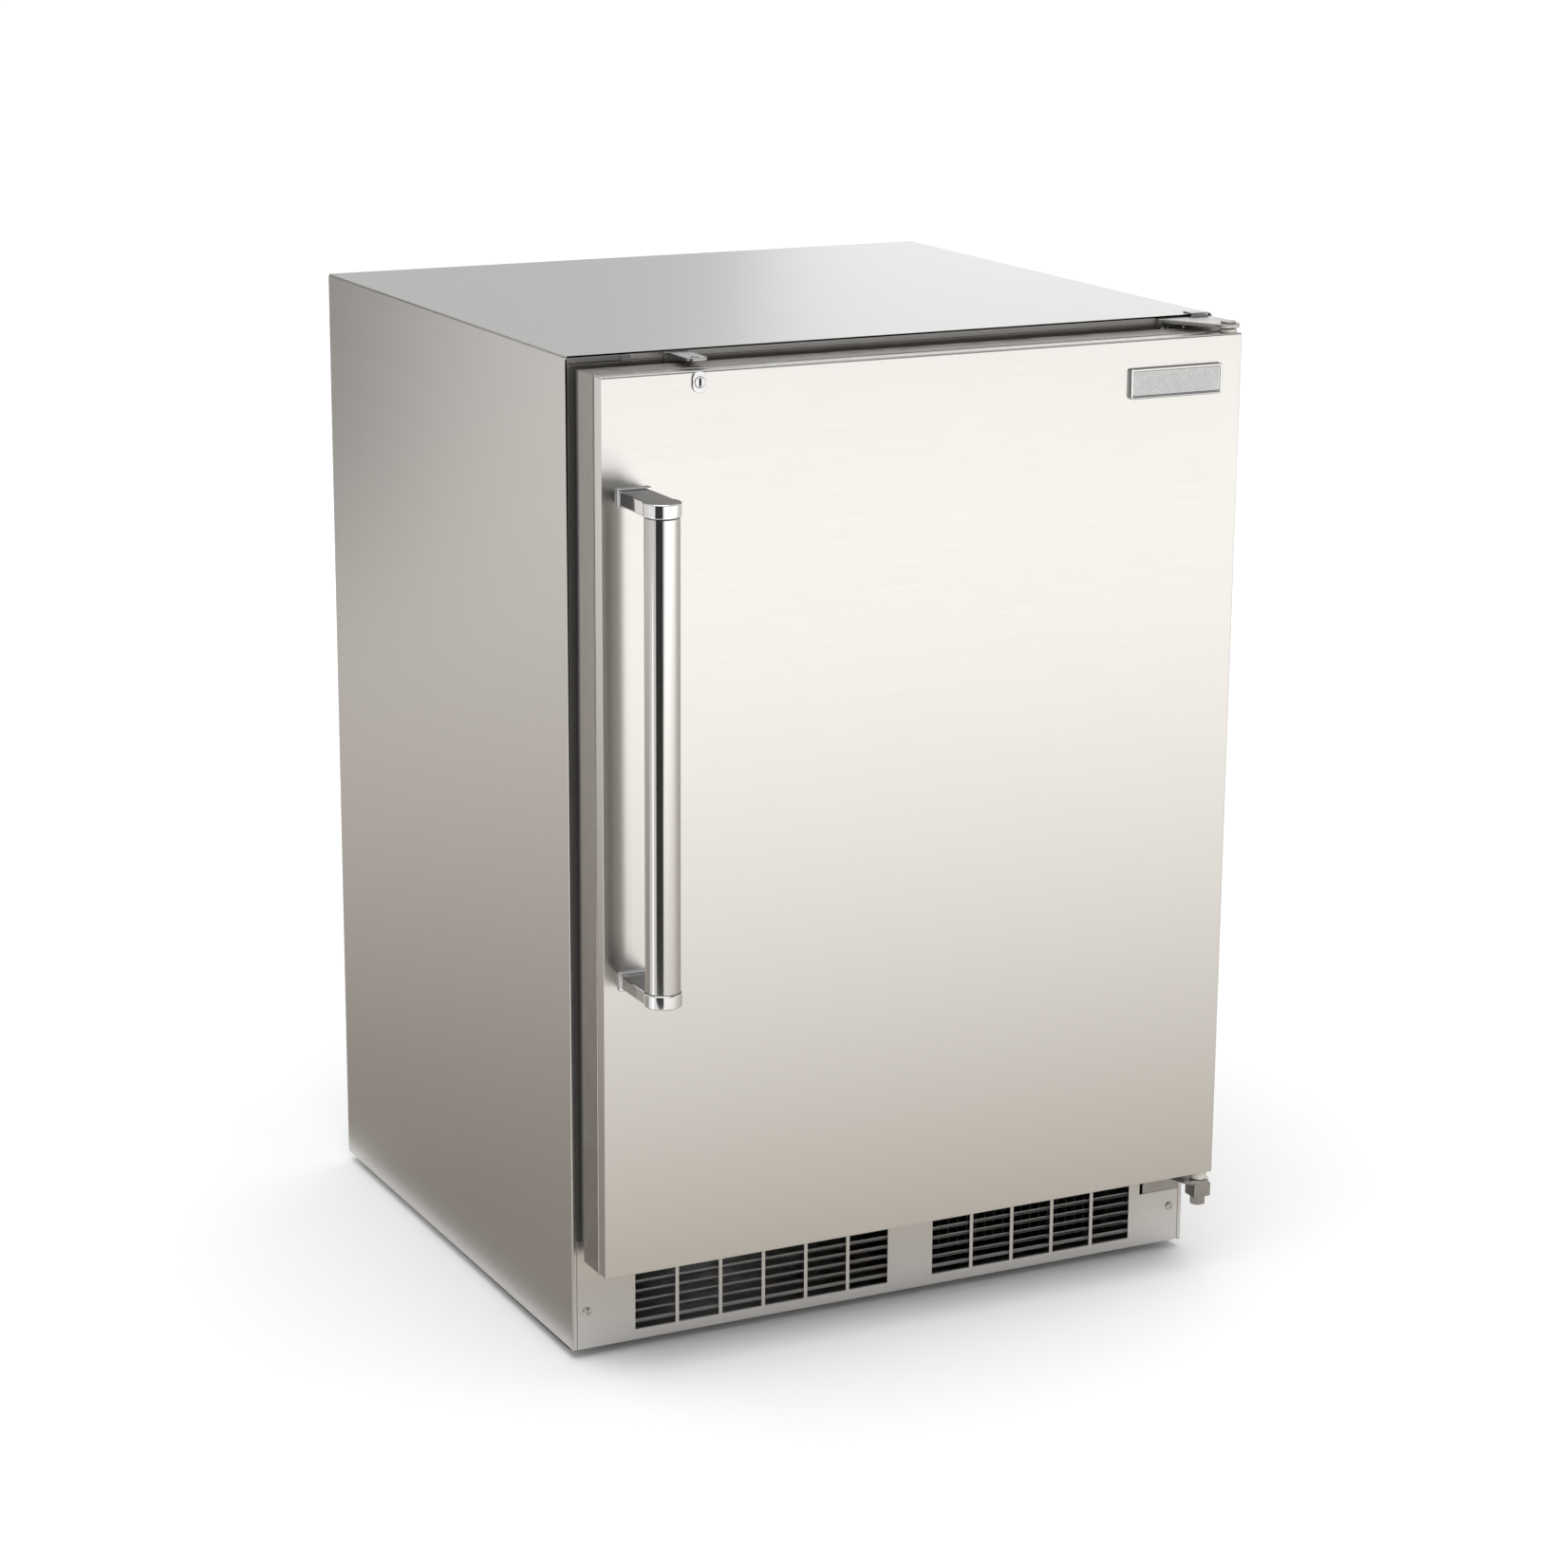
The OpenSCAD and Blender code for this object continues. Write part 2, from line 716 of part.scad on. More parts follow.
module drain_tube() {
    color("whitesmoke") in_cabinet() translate([drain_x, drain_y, 28]) difference() {
        cylinder(r = drain_r, h = hump_z - 28);
        translate([0, 0, -1]) cylinder(r = drain_r - 1.5, h = hump_z);
    }
}

// ---- Inside the food compartment ----

module evaporator_coil() {
    fins = 22;
    fin_w = 0.8;
    x0 = -118;
    x1 = 118;
    color("silver") in_cabinet() {
        for (i = [0 : fins - 1]) {
            x = x0 + i * (x1 - x0 - fin_w) / (fins - 1);
            slab([x, 448, 438], [x + fin_w, 478, 590]);
        }
        for (z = [455, 485, 515, 545, 575]) rod([x0 - 10, 463, z], [x1 + 10, 463, z], 4);
        for (x = [x0 - 10, x1 + 10]) rod([x, 463, 455], [x, 463, 575], 3.9);
    }
}

module evaporator_cover() {
    wall = 2;
    x1 = 160;
    y0 = 438;
    z0 = 420;
    z1 = 780;
    slats = 9;
    grille_r = 46;
    intake = 14;
    color("whitesmoke") in_cabinet() difference() {
        slab([-x1, y0, z0], [x1, cavity_d, z1]);
        slab([-x1 + wall, y0 + wall, z0 + wall], [x1 - wall, cavity_d + 1, z1 - wall]);
        intersection() {
            bar_along_y(0, evap_fan_z, y0 - 1, y0 + wall + 1, grille_r);
            for (i = [0 : slats - 1]) {
                z = evap_fan_z - grille_r + 2 + i * 10.2;
                slab([-grille_r, y0 - 2, z], [grille_r, y0 + wall + 2, z + 7]);
            }
        }
        for (i = [0 : intake - 1]) {
            x = -130 + i * 19.4;
            slab([x, y0 - 1, 434], [x + 9, y0 + wall + 1, 484]);
        }
    }
}

module evaporator_fan_motor() {
    color("dimgray") in_cabinet() {
        fan_motor(0, evap_fan_z, 466, 17, 15, 16);
        slab([-60, 480, evap_fan_z - 5], [60, 483, evap_fan_z + 5]);
    }
}

module evaporator_fan_blade() {
    color("lightgray") in_cabinet() fan_wheel(0, evap_fan_z, 448, 12, 9, evap_fan_r, 5);
}

module control_housing() {
    half = 80;
    color("whitesmoke") in_cabinet() difference() {
        hull() {
            slab([-half, 66, box_low], [half, 150, cavity_top]);
            slab([4 - half, 62, box_low + 4], [half - 4, 152, cavity_top]);
        }
        slab([8 - half, 74, box_low + 5], [half - 8, 144, cavity_top + 1]);
        bar_along_y(knob_x, knob_z, 50, 76, spindle_r + 0.05);
    }
}

module thermostat_knob() {
    dial_r = 12;
    grip_t = 2;
    color("white") in_cabinet() difference() {
        union() {
            bar_along_y(knob_x, knob_z, 47, 61.5, dial_r);
            bar_along_y(knob_x, knob_z, 60, 73, spindle_r);
            slab([knob_x - grip_t / 2, 44, knob_z - dial_r + 1],
                 [knob_x + grip_t / 2, 48, knob_z + dial_r - 1]);
        }
        slab([knob_x - 0.5, 43, knob_z + 5], [knob_x + 0.5, 45, knob_z + dial_r]);
    }
}

module lamp_lens() {
    lens_low = box_low - 7;
    color("white", 0.6) in_cabinet() hull() {
        slab([-62, 82, box_low - 2], [22, 128, box_low]);
        slab([-58, 86, lens_low], [18, 124, box_low]);
    }
}

module wire_shelf(z) {
    rail_z = z + rod_r + run_gap;
    rail_x = cavity_x - rib_w / 2 - 0.5;
    y0 = shelf_front + rod_r;
    y1 = shelf_back - rod_r;
    wire_z = rail_z + 2;
    step = 2 * (rail_x - 12) / (shelf_wires - 1);
    color("whitesmoke") in_cabinet() {
        for (y = [y0, y1]) rod([-rail_x, y, rail_z], [rail_x, y, rail_z], rod_r);
        for (x = [-rail_x, rail_x]) {
            rod([x, y0, rail_z], [x, y1, rail_z], rod_r);
            for (y = [y0, y1]) translate([x, y, rail_z]) sphere(r = rod_r);
        }
        for (y = [200, 320]) rod([-rail_x, y, rail_z], [rail_x, y, rail_z], 2);
        for (i = [0 : shelf_wires - 1]) {
            x = -rail_x + 12 + i * step;
            rod([x, y0, wire_z], [x, y1, wire_z], wire_r);
        }
    }
}

module shelf_upper() {
    wire_shelf(rib_first + 6 * rib_pitch);
}

module shelf_middle() {
    wire_shelf(rib_first + 4 * rib_pitch);
}

module shelf_lower() {
    wire_shelf(rib_first + 2 * rib_pitch);
}

// ---- Back ----

module rear_access_panel() {
    x1 = half_w - lip - 2;
    louvres = 14;
    color("darkgray") in_cabinet() difference() {
        slab([-x1, cabinet_d - sheet, 6], [x1, cabinet_d, access_h]);
        for (side = [-150, 70]) for (i = [0 : louvres - 1]) {
            x = side + i * 9 - 60;
            slab([x, cabinet_d - 3, 60], [x + 4.5, cabinet_d + 1, 160]);
        }
        front_holes(rear_screws, small_hole_r, cabinet_d - 3, cabinet_d + 1);
        slab([inlet_x - inlet_w / 2, cabinet_d - 3, inlet_low],
             [inlet_x + inlet_w / 2, cabinet_d + 1, inlet_top]);
    }
}

module rear_panel_screws() {
    color("gainsboro") in_cabinet() for (p = rear_screws) {
        translate([p.x, cabinet_d, p.y]) rotate([-90, 0, 0]) difference() {
            union() {
                cylinder(r = 4, h = rear_head);
                translate([0, 0, -6]) cylinder(r = 2, h = 7);
            }
            for (turn = [0, 90]) translate([0, 0, rear_head]) rotate([0, 0, turn])
                cube([5, 1.1, 1.6], center = true);
        }
    }
}

module power_inlet() {
    low = [inlet_x - inlet_w / 2 + gap, cabinet_d - 24, inlet_low + gap];
    high = [inlet_x + inlet_w / 2 - gap, cabinet_d + 0.5, inlet_top - gap];
    wall = 3;
    rim = 5;
    pin = [2, 14, 4];
    color("black") in_cabinet() {
        difference() {
            union() {
                slab(low, high);
                slab([low.x - rim, cabinet_d, low.z - rim], [high.x + rim, cabinet_d + 1.8, high.z + rim]);
            }
            slab(low + [wall, wall, wall], [high.x - wall, cabinet_d + 3, high.z - wall]);
        }
        for (dx = [-7, 0, 7]) {
            translate([inlet_x + dx - pin.x / 2, cabinet_d - 22, inlet_low + 5]) cube(pin);
        }
    }
}

// ---- Levelling feet ----

module levelling_foot(x, y) {
    pad_top = sheet;
    color("black") in_cabinet() translate([x, y, 0]) {
        translate([0, 0, -foot_h]) cylinder(r = 18, h = 4);
        translate([0, 0, -foot_h + 4]) cylinder(r1 = 18, r2 = 11, h = pad_top + foot_h - 4);
        translate([0, 0, -2]) cylinder(r = stud_r, h = foot_travel + 14);
    }
}

module foot_front_left() {
    levelling_foot(-foot_x, foot_ys[0]);
}

module foot_front_right() {
    levelling_foot(foot_x, foot_ys[0]);
}

module foot_rear_left() {
    levelling_foot(-foot_x, foot_ys[1]);
}

module foot_rear_right() {
    levelling_foot(foot_x, foot_ys[1]);
}

// ---- Door ----

// Space that the two hinge bushes and the lock take out of the door
module door_fittings(extra) {
    translate([pin_x, pin_y, door_low - 1]) cylinder(r = bush_r + extra, h = 18.7);
    translate([pin_x, pin_y, door_top - 18]) cylinder(r = bush_r + extra, h = 19);
    translate([bolt_x, bolt_y, door_top - 10]) cylinder(r = bolt_r + 0.5, h = 20);
}

function handle_screw_zs() = [handle_low + arm_t / 2, handle_top - arm_t / 2];

module door_skin() {
    color("silver") in_cabinet() difference() {
        slab([-door_x, door_front, door_low], [door_x, pan_front, door_top]);
        slab([-door_x + sheet, door_front + sheet, door_low + sheet],
             [door_x - sheet, pan_front + 1, door_top - sheet]);
        door_fittings(0.05);
        bar_along_y(lock_x, lock_z, door_front - 1, door_front + 2, 6.1);
        for (z = handle_screw_zs()) bar_along_y(bar_x, z, door_front - 1, door_front + 2, 3.1);
    }
}

module door_pan() {
    back_x = 255;
    color("gray") in_cabinet() difference() {
        slab([-door_x, pan_front, door_low], [door_x, door_back, door_top]);
        slab([-door_x + sheet, pan_front - 1, door_low + sheet],
             [door_x - sheet, door_back - sheet, door_top - sheet]);
        slab([-back_x, door_back - 3, 135], [back_x, door_back + 1, 800]);
        door_fittings(0.05);
    }
}

module door_foam() {
    color("khaki") in_cabinet() difference() {
        slab([-door_x + sheet, door_front + sheet, door_low + sheet],
             [door_x - sheet, door_back - sheet, door_top - sheet]);
        door_fittings(0.05);
        slab([-219, door_front, door_top - 25], [-198, door_front + 32, door_top]);
        for (z = handle_screw_zs()) bar_along_y(bar_x, z, door_front, door_front + 7, 5.6);
    }
}

module door_liner() {
    color("white") in_cabinet() {
        slab([-door_sheet_x, door_back, door_sheet_low],
             [door_sheet_x, door_back + door_sheet_t, door_sheet_top]);
        ring(door_back + 1, dyke_y, dyke_x, dyke_low, dyke_top,
             dyke_x - door_sheet_t, dyke_low + door_sheet_t, dyke_top - door_sheet_t);
    }
}

module door_gasket() {
    lip_back = -5;
    inner = [door_sheet_x + 2, door_sheet_low - 2, door_sheet_top + 2];
    color([0.12, 0.12, 0.12]) in_cabinet() {
        ring(door_back, lip_back, door_x - 1.3, 98, door_top - 1.2, inner.x, inner.y, inner.z);
        ring(lip_back - 0.5, -run_gap, pin_x - 3, 104, 830, inner.x, inner.y, inner.z);
    }
}

module door_rack(z, height) {
    wall = 2.5;
    y0 = door_back + door_sheet_t + gap;
    tab_z = z + height - 14;
    difference() {
        union() {
            slab([-rack_x, y0, z], [rack_x, rack_y, z + height]);
            slab([-dyke_x + door_sheet_t + gap, y0, tab_z],
                 [dyke_x - door_sheet_t - gap, dyke_y, tab_z + 10]);
        }
        slab([-rack_x + wall, y0 + wall, z + wall], [rack_x - wall, rack_y - wall, z + height + 1]);
    }
}

module door_racks() {
    color([0.85, 0.92, 0.95, 0.5]) in_cabinet() for (r = racks) door_rack(r[0], r[1]);
}

module handle_bar() {
    wall = 2;
    color("silver") in_cabinet() translate([bar_x, bar_y, handle_low + arm_t]) difference() {
        cylinder(r = bar_d / 2, h = handle_len - 2 * arm_t);
        translate([0, 0, -1]) cylinder(r = bar_d / 2 - wall, h = handle_len);
    }
}

// One end casting: a strap from the door, a collar on the tube and a spigot inside it
module handle_arm(up) {
    spigot = 14;
    base_z = up > 0 ? handle_top - arm_t : handle_low;
    spigot_z = up > 0 ? base_z - spigot : base_z + arm_t;
    strap_w = 27;
    difference() {
        union() {
            translate([bar_x, bar_y, base_z]) cylinder(r = collar_r, h = arm_t);
            slab([bar_x - strap_w / 2, bar_y, base_z], [bar_x + strap_w / 2, door_front, base_z + arm_t]);
            slab([bar_x - strap_w / 2 - 1.5, door_front - 3, base_z - 2],
                 [bar_x + strap_w / 2 + 1.5, door_front, base_z + arm_t + 2]);
            translate([bar_x, bar_y, spigot_z]) cylinder(r = bar_d / 2 - 2.1, h = spigot);
        }
        bar_along_y(bar_x, base_z + arm_t / 2, door_front - 18, door_front + 1, 3.05);
    }
}

module handle_arms() {
    color("gainsboro") in_cabinet() {
        handle_arm(1);
        handle_arm(-1);
    }
}

module handle_screws() {
    color("gainsboro") in_cabinet() for (z = handle_screw_zs()) {
        bar_along_y(bar_x, z, door_front - 16, door_front + 2, 3);
        bar_along_y(bar_x, z, door_front + sheet, door_front + 5.5, 5.4);
    }
}

// Blank plate with a raised border
module badge_plate() {
    x0 = 186;
    x1 = 277;
    z0 = 792;
    z1 = 818;
    thick = 3.5;
    border = 1.8;
    color("gainsboro") in_cabinet() difference() {
        slab([x0, door_front - thick, z0], [x1, door_front, z1]);
        slab([x0 + border, door_front - thick - 1, z0 + border],
             [x1 - border, door_front - thick + 0.8, z1 - border]);
    }
}

module lock_housing() {
    face_w = 12.5;
    face_t = 1.6;
    flat = 18 - face_w;
    guide_front = door_front + 18;
    color("gainsboro") in_cabinet() difference() {
        union() {
            for (dz = [-flat / 2, flat / 2]) {
                bar_along_y(lock_x, lock_z + dz, door_front - face_t, door_front, face_w / 2);
            }
            slab([lock_x - face_w / 2, door_front - face_t, lock_z - flat / 2],
                 [lock_x + face_w / 2, door_front, lock_z + flat / 2]);
            bar_along_y(lock_x, lock_z, door_front - 0.5, guide_front + 1, 6);
            slab([bolt_x - 6, guide_front, door_top - 24], [bolt_x + 6, bolt_y + 6, door_top - 1.2]);
        }
        bar_along_y(lock_x, lock_z, door_front - 3, guide_front + 0.5, 4.55);
        translate([bolt_x, bolt_y, door_top - 30]) cylinder(r = bolt_r + 0.05, h = 40);
    }
}

module lock_plug() {
    key = [1.6, 8, 6.5];
    color("silver") in_cabinet() difference() {
        bar_along_y(lock_x, lock_z, door_front - 2.2, door_front + 17, 4.5);
        translate([lock_x - key.x / 2, door_front - 3, lock_z - key.z / 2]) cube(key);
    }
}

module lock_bolt() {
    color("silver") in_cabinet() translate([bolt_x, bolt_y, door_top - 22]) cylinder(r = bolt_r, h = 21.3);
}

module hinge_bushes() {
    bore = pin_r + 0.05;
    color("ivory") in_cabinet() translate([pin_x, pin_y, 0]) difference() {
        union() {
            translate([0, 0, door_low]) cylinder(r = bush_r, h = 17.5);
            translate([0, 0, 78 + run_gap]) cylinder(r = 7.5, h = door_low - 78 - run_gap);
            translate([0, 0, door_top - 17.5]) cylinder(r = bush_r, h = 17.5);
            translate([0, 0, door_top]) cylinder(r = 7.5, h = 2.5);
        }
        cylinder(r = bore, h = cabinet_h + 10);
    }
}

side_panel_left();
side_panel_right();
top_panel();
back_panel();
face_frame();
foam_insulation();
inner_liner();
compartment_liner();
base_pan();
kick_plate();
kick_plate_screws();
hinge_hole_cover();
strike_bracket();
bracket_screws();
top_hinge_plate();
bottom_hinge_bracket();
hinge_pins();
compressor();
compressor_mounts();
compressor_bolts();
terminal_cover();
condenser_coil();
condenser_fan_shroud();
condenser_fan_motor();
filter_drier();
refrigerant_tubes();
drain_pan();
drain_tube();
evaporator_coil();
evaporator_cover();
evaporator_fan_motor();
control_housing();
lamp_lens();
power_inlet();
rear_access_panel();
rear_panel_screws();
foot_front_left();
foot_front_right();
foot_rear_left();
foot_rear_right();
condenser_fan_blade();
evaporator_fan_blade();
thermostat_knob();
shelf_upper();
shelf_middle();
shelf_lower();
door_skin();
door_pan();
door_foam();
door_liner();
door_gasket();
handle_bar();
handle_arms();
handle_screws();
badge_plate();
lock_housing();
lock_plug();
lock_bolt();
door_racks();
hinge_bushes();
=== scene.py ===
# %% [markdown]
# # An undercounter refrigerator, finished in Blender
# The engineering model gives every piece its place and size: a steel cabinet, a
# hinged door, a tubular handle, a slotted kick plate and the food compartment
# behind the door. This script loads that model and gives it what a person sees:
# rounded sheet-metal edges, brushed steel, chrome, moulded plastic and rubber.
# Everything is in metres and in the engineering model's own frame, so a new piece
# is drawn where the old one stands and never has to be moved into place.

# %% Load the frame
import json
import math

import bmesh
import bpy
from mathutils import Matrix, Vector

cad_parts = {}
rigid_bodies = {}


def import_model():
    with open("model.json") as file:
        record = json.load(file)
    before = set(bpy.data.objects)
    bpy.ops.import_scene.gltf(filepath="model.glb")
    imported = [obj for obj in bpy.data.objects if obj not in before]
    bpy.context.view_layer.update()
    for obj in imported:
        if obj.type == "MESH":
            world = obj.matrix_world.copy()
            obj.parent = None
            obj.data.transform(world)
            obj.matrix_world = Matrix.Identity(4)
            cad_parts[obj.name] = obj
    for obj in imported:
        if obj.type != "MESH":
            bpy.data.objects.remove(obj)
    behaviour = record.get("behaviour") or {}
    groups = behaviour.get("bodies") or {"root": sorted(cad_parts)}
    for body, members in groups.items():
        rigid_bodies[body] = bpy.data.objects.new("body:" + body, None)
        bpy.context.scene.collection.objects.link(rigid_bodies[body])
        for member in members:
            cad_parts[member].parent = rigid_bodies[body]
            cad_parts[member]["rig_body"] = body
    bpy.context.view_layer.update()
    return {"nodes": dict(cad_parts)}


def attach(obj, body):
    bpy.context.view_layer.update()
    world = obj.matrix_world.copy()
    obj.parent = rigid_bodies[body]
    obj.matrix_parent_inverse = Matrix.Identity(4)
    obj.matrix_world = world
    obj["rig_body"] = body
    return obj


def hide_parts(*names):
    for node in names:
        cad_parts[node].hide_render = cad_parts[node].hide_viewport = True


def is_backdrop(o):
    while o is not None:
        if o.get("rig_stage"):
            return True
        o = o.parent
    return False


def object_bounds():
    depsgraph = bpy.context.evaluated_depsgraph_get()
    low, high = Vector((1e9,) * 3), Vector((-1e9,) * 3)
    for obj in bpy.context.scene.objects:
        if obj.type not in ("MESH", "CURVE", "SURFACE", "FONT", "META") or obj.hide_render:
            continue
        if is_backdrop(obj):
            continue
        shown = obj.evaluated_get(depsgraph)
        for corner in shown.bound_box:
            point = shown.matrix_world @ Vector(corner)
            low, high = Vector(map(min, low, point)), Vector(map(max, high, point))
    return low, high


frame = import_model()
MM = 0.001
slot_of = {name: piece.data.materials[0].name for name, piece in frame["nodes"].items()}
body_of = {name: piece["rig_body"] for name, piece in frame["nodes"].items()}

# %% [markdown]
# ## The camera
# A studio usually puts a long lens on a product, because a wide one makes the
# near corner bulge. This camera stands to the left of the door, a little above the
# top panel, and looks down by fifteen degrees. Its axes are worked out from three
# turns, so that one number can be changed without disturbing the others.

# %% Camera
CAMERA_PLACE = Vector((-1.5355, -3.0667, 1.3360))
CAMERA_YAW = math.radians(26.58)
CAMERA_PITCH = math.radians(14.91)
CAMERA_ROLL = math.radians(0.38)
CAMERA_LENS = 90.29


def camera_matrix(place, yaw, pitch, roll):
    ahead = Vector((math.sin(yaw) * math.cos(pitch), math.cos(yaw) * math.cos(pitch), -math.sin(pitch)))
    level_right = Vector((math.cos(yaw), -math.sin(yaw), 0.0))
    level_up = level_right.cross(ahead)
    right = level_right * math.cos(roll) + level_up * math.sin(roll)
    up = right.cross(ahead)
    return Matrix.Translation(place) @ Matrix((right, up, -ahead)).transposed().to_4x4()


camera_data = bpy.data.cameras.new("studio_camera")
camera_data.lens = CAMERA_LENS
camera_data.sensor_width = 36.0
camera_data.clip_end = 200.0
camera = bpy.data.objects.new("studio_camera", camera_data)
bpy.context.scene.collection.objects.link(camera)
camera.matrix_world = camera_matrix(CAMERA_PLACE, CAMERA_YAW, CAMERA_PITCH, CAMERA_ROLL)
bpy.context.scene.camera = camera
print("camera stands", round(CAMERA_PLACE.length, 2), "m from the floor's middle")

# %% [markdown]
# ## A small kit for materials
# Every finish here is one Principled shader with a few texture nodes in front of
# it. The class keeps the node tree at hand while the nodes are joined, so that each
# finish below reads as a short recipe. Patterns are measured in metres by Object
# coordinates, which is why they have the same scale on every piece. A value that
# is the same all over a surface is typed straight into the shader's own socket.

# %% Material kit
class Finish:
    def __init__(self, name, colour, metallic, roughness):
        self.material = bpy.data.materials.new(name)
        self.material.use_nodes = True
        self.tree = self.material.node_tree
        self.shader = self.tree.nodes["Principled BSDF"]
        self.colour = colour
        self.set("Base Color", (*colour, 1.0))
        self.set("Metallic", metallic)
        self.set("Roughness", roughness)

    def set(self, socket, value):
        self.shader.inputs[socket].default_value = value

    def add(self, kind, **inputs):
        node = self.tree.nodes.new(kind)
        for name, value in inputs.items():
            node.inputs[name.replace("_", " ")].default_value = value
        return node

    def join(self, output, socket):
        self.tree.links.new(output, socket)

    def noise(self, stretch, scale, detail=3.0):
        place = self.add("ShaderNodeTexCoord")
        turn = self.add("ShaderNodeMapping", Scale=stretch)
        noise = self.add("ShaderNodeTexNoise", Scale=scale, Detail=detail)
        self.join(place.outputs["Object"], turn.inputs["Vector"])
        self.join(turn.outputs["Vector"], noise.inputs["Vector"])
        return noise.outputs["Fac"]

    def spread(self, factor, low, high):
        node = self.add("ShaderNodeMapRange", From_Min=0.3, From_Max=0.7, To_Min=low, To_Max=high)
        self.join(factor, node.inputs["Value"])
        return node.outputs["Result"]

    def vary_roughness(self, factor, low, high):
        self.join(self.spread(factor, low, high), self.shader.inputs["Roughness"])

    def vary_colour(self, factor, darkest):
        mix = self.add("ShaderNodeMix")
        mix.data_type = "RGBA"
        mix.inputs[6].default_value = (*[c * darkest for c in self.colour], 1.0)
        mix.inputs[7].default_value = (*self.colour, 1.0)
        self.join(self.spread(factor, 0.0, 1.0), mix.inputs[0])
        self.join(mix.outputs[2], self.shader.inputs["Base Color"])

    def bump(self, factor, depth, strength=1.0):
        node = self.add("ShaderNodeBump", Strength=strength, Distance=depth)
        self.join(factor, node.inputs["Height"])
        self.join(node.outputs["Normal"], self.shader.inputs["Normal"])

    def grain_direction(self, axis, turn):
        tangent = self.add("ShaderNodeTangent")
        tangent.direction_type = "RADIAL"
        tangent.axis = axis
        self.join(tangent.outputs["Tangent"], self.shader.inputs["Tangent"])
        self.set("Anisotropic Rotation", turn)


ALONG_X = (0.02, 1.0, 1.0)
EVEN = (1.0, 1.0, 1.0)
print("material kit ready")

# %% [markdown]
# ## Brushed stainless steel
# Stainless sheet is polished with a belt that leaves fine, parallel scratches. They
# spread a reflection across the grain and leave it sharp along the grain: the
# handle's upright reflection in the door has crisp sides, while everything above and
# below melts into a smooth fade. Anisotropy does that spreading. A noise that is
# stretched fifty times along X varies the roughness and the shade from one scratch
# to the next, and a slow noise gives the faint uneven patches of thin sheet.

# %% Brushed steel
STEEL = (0.60, 0.585, 0.565)


def brushed_steel(name, colour, roughness, spread, axis, turn):
    finish = Finish(name, colour, 1.0, roughness)
    scratches = finish.noise(ALONG_X, 900.0, 4.0)
    finish.vary_roughness(scratches, roughness - 0.012, roughness + 0.012)
    finish.vary_colour(scratches, 0.985)
    finish.bump(finish.noise(EVEN, 4.0, 1.0), 0.0002, 0.35)
    finish.set("Anisotropic", spread)
    finish.grain_direction(axis, turn)
    return finish.material


steel_door = brushed_steel("brushed_door_steel", STEEL, 0.24, 0.85, "Z", 0.25)
steel_side = brushed_steel("brushed_side_steel", STEEL, 0.30, 0.75, "Z", 0.25)
# The top panel's steel is brushed along X, and its colour is set darker than the door's and sides': painted
# shade that darkens the top panel.
steel_top = brushed_steel("brushed_top_steel", (0.53, 0.525, 0.515), 0.34, 0.5, "X", 0.25)
steel_tube = brushed_steel("polished_tube_steel", (0.48, 0.468, 0.455), 0.11, 0.0, "Z", 0.0)
print("brushed steels:", steel_door.name, steel_side.name, steel_top.name)

# %% [markdown]
# ## The other finishes
# Zinc plating on the back and inside is dull with a faint spangle. Chrome on the
# handle's end castings, the badge and the lock is nearly a mirror. Plastics carry a
# fine moulded grain, and rubber is matt with a little dust in it.

# %% Metals
def zinc_sheet(name, colour, roughness):
    finish = Finish(name, colour, 1.0, roughness)
    place = finish.add("ShaderNodeTexCoord")
    spangle = finish.add("ShaderNodeTexVoronoi", Scale=90.0)
    finish.join(place.outputs["Object"], spangle.inputs["Vector"])
    finish.vary_roughness(spangle.outputs["Color"], roughness - 0.08, roughness + 0.1)
    finish.vary_colour(spangle.outputs["Color"], 0.86)
    return finish.material


def smooth_metal(name, colour, roughness, cloud=60.0):
    finish = Finish(name, colour, 1.0, roughness)
    handling = finish.noise(EVEN, cloud, 4.0)
    finish.vary_roughness(handling, roughness * 0.8, roughness * 1.3)
    finish.vary_colour(handling, 0.93)
    finish.bump(finish.noise(EVEN, 700.0, 2.0), 0.00001, 0.3)
    return finish.material


finish_of_slot = {
    "stainless": steel_side,
    "stainless_door": steel_door,
    "galvanised": zinc_sheet("galvanised_sheet", (0.52, 0.54, 0.55), 0.42),
    "zinc": smooth_metal("zinc_plate", (0.62, 0.61, 0.58), 0.28),
    "chrome": smooth_metal("chrome_plate", (0.68, 0.68, 0.68), 0.07),
    "hinge_steel": smooth_metal("hinge_steel", (0.38, 0.37, 0.36), 0.30),
    "copper": smooth_metal("copper_pipe", (0.72, 0.38, 0.24), 0.30, 30.0),
    "door_edge": smooth_metal("door_edge_steel", (0.36, 0.34, 0.32), 0.38),
    "badge_metal": smooth_metal("badge_metal", (0.46, 0.46, 0.46), 0.12),
    "badge_middle": smooth_metal("badge_middle", (0.38, 0.38, 0.38), 0.30, 400.0),
    "lock_chrome": smooth_metal("satin_chrome", (0.50, 0.50, 0.50), 0.22),
    "coil_fins": smooth_metal("fin_aluminium", (0.72, 0.73, 0.74), 0.35),
}
print("metals:", len(finish_of_slot))

# %% Plastics, rubber and paint
def moulded(name, colour, roughness, grain, depth, darkest=0.94):
    finish = Finish(name, colour, 0.0, roughness)
    texture = finish.noise(EVEN, grain, 3.0)
    finish.vary_roughness(texture, roughness - 0.06, roughness + 0.06)
    finish.vary_colour(finish.noise(EVEN, 9.0, 2.0), darkest)
    finish.bump(texture, depth, 0.6)
    return finish.material


def see_through(name, colour, roughness, clearness):
    finish = Finish(name, colour, 0.0, roughness)
    finish.set("Transmission Weight", clearness)
    finish.set("IOR", 1.49)
    finish.vary_roughness(finish.noise(EVEN, 40.0, 3.0), roughness * 0.6, roughness * 1.6)
    return finish.material


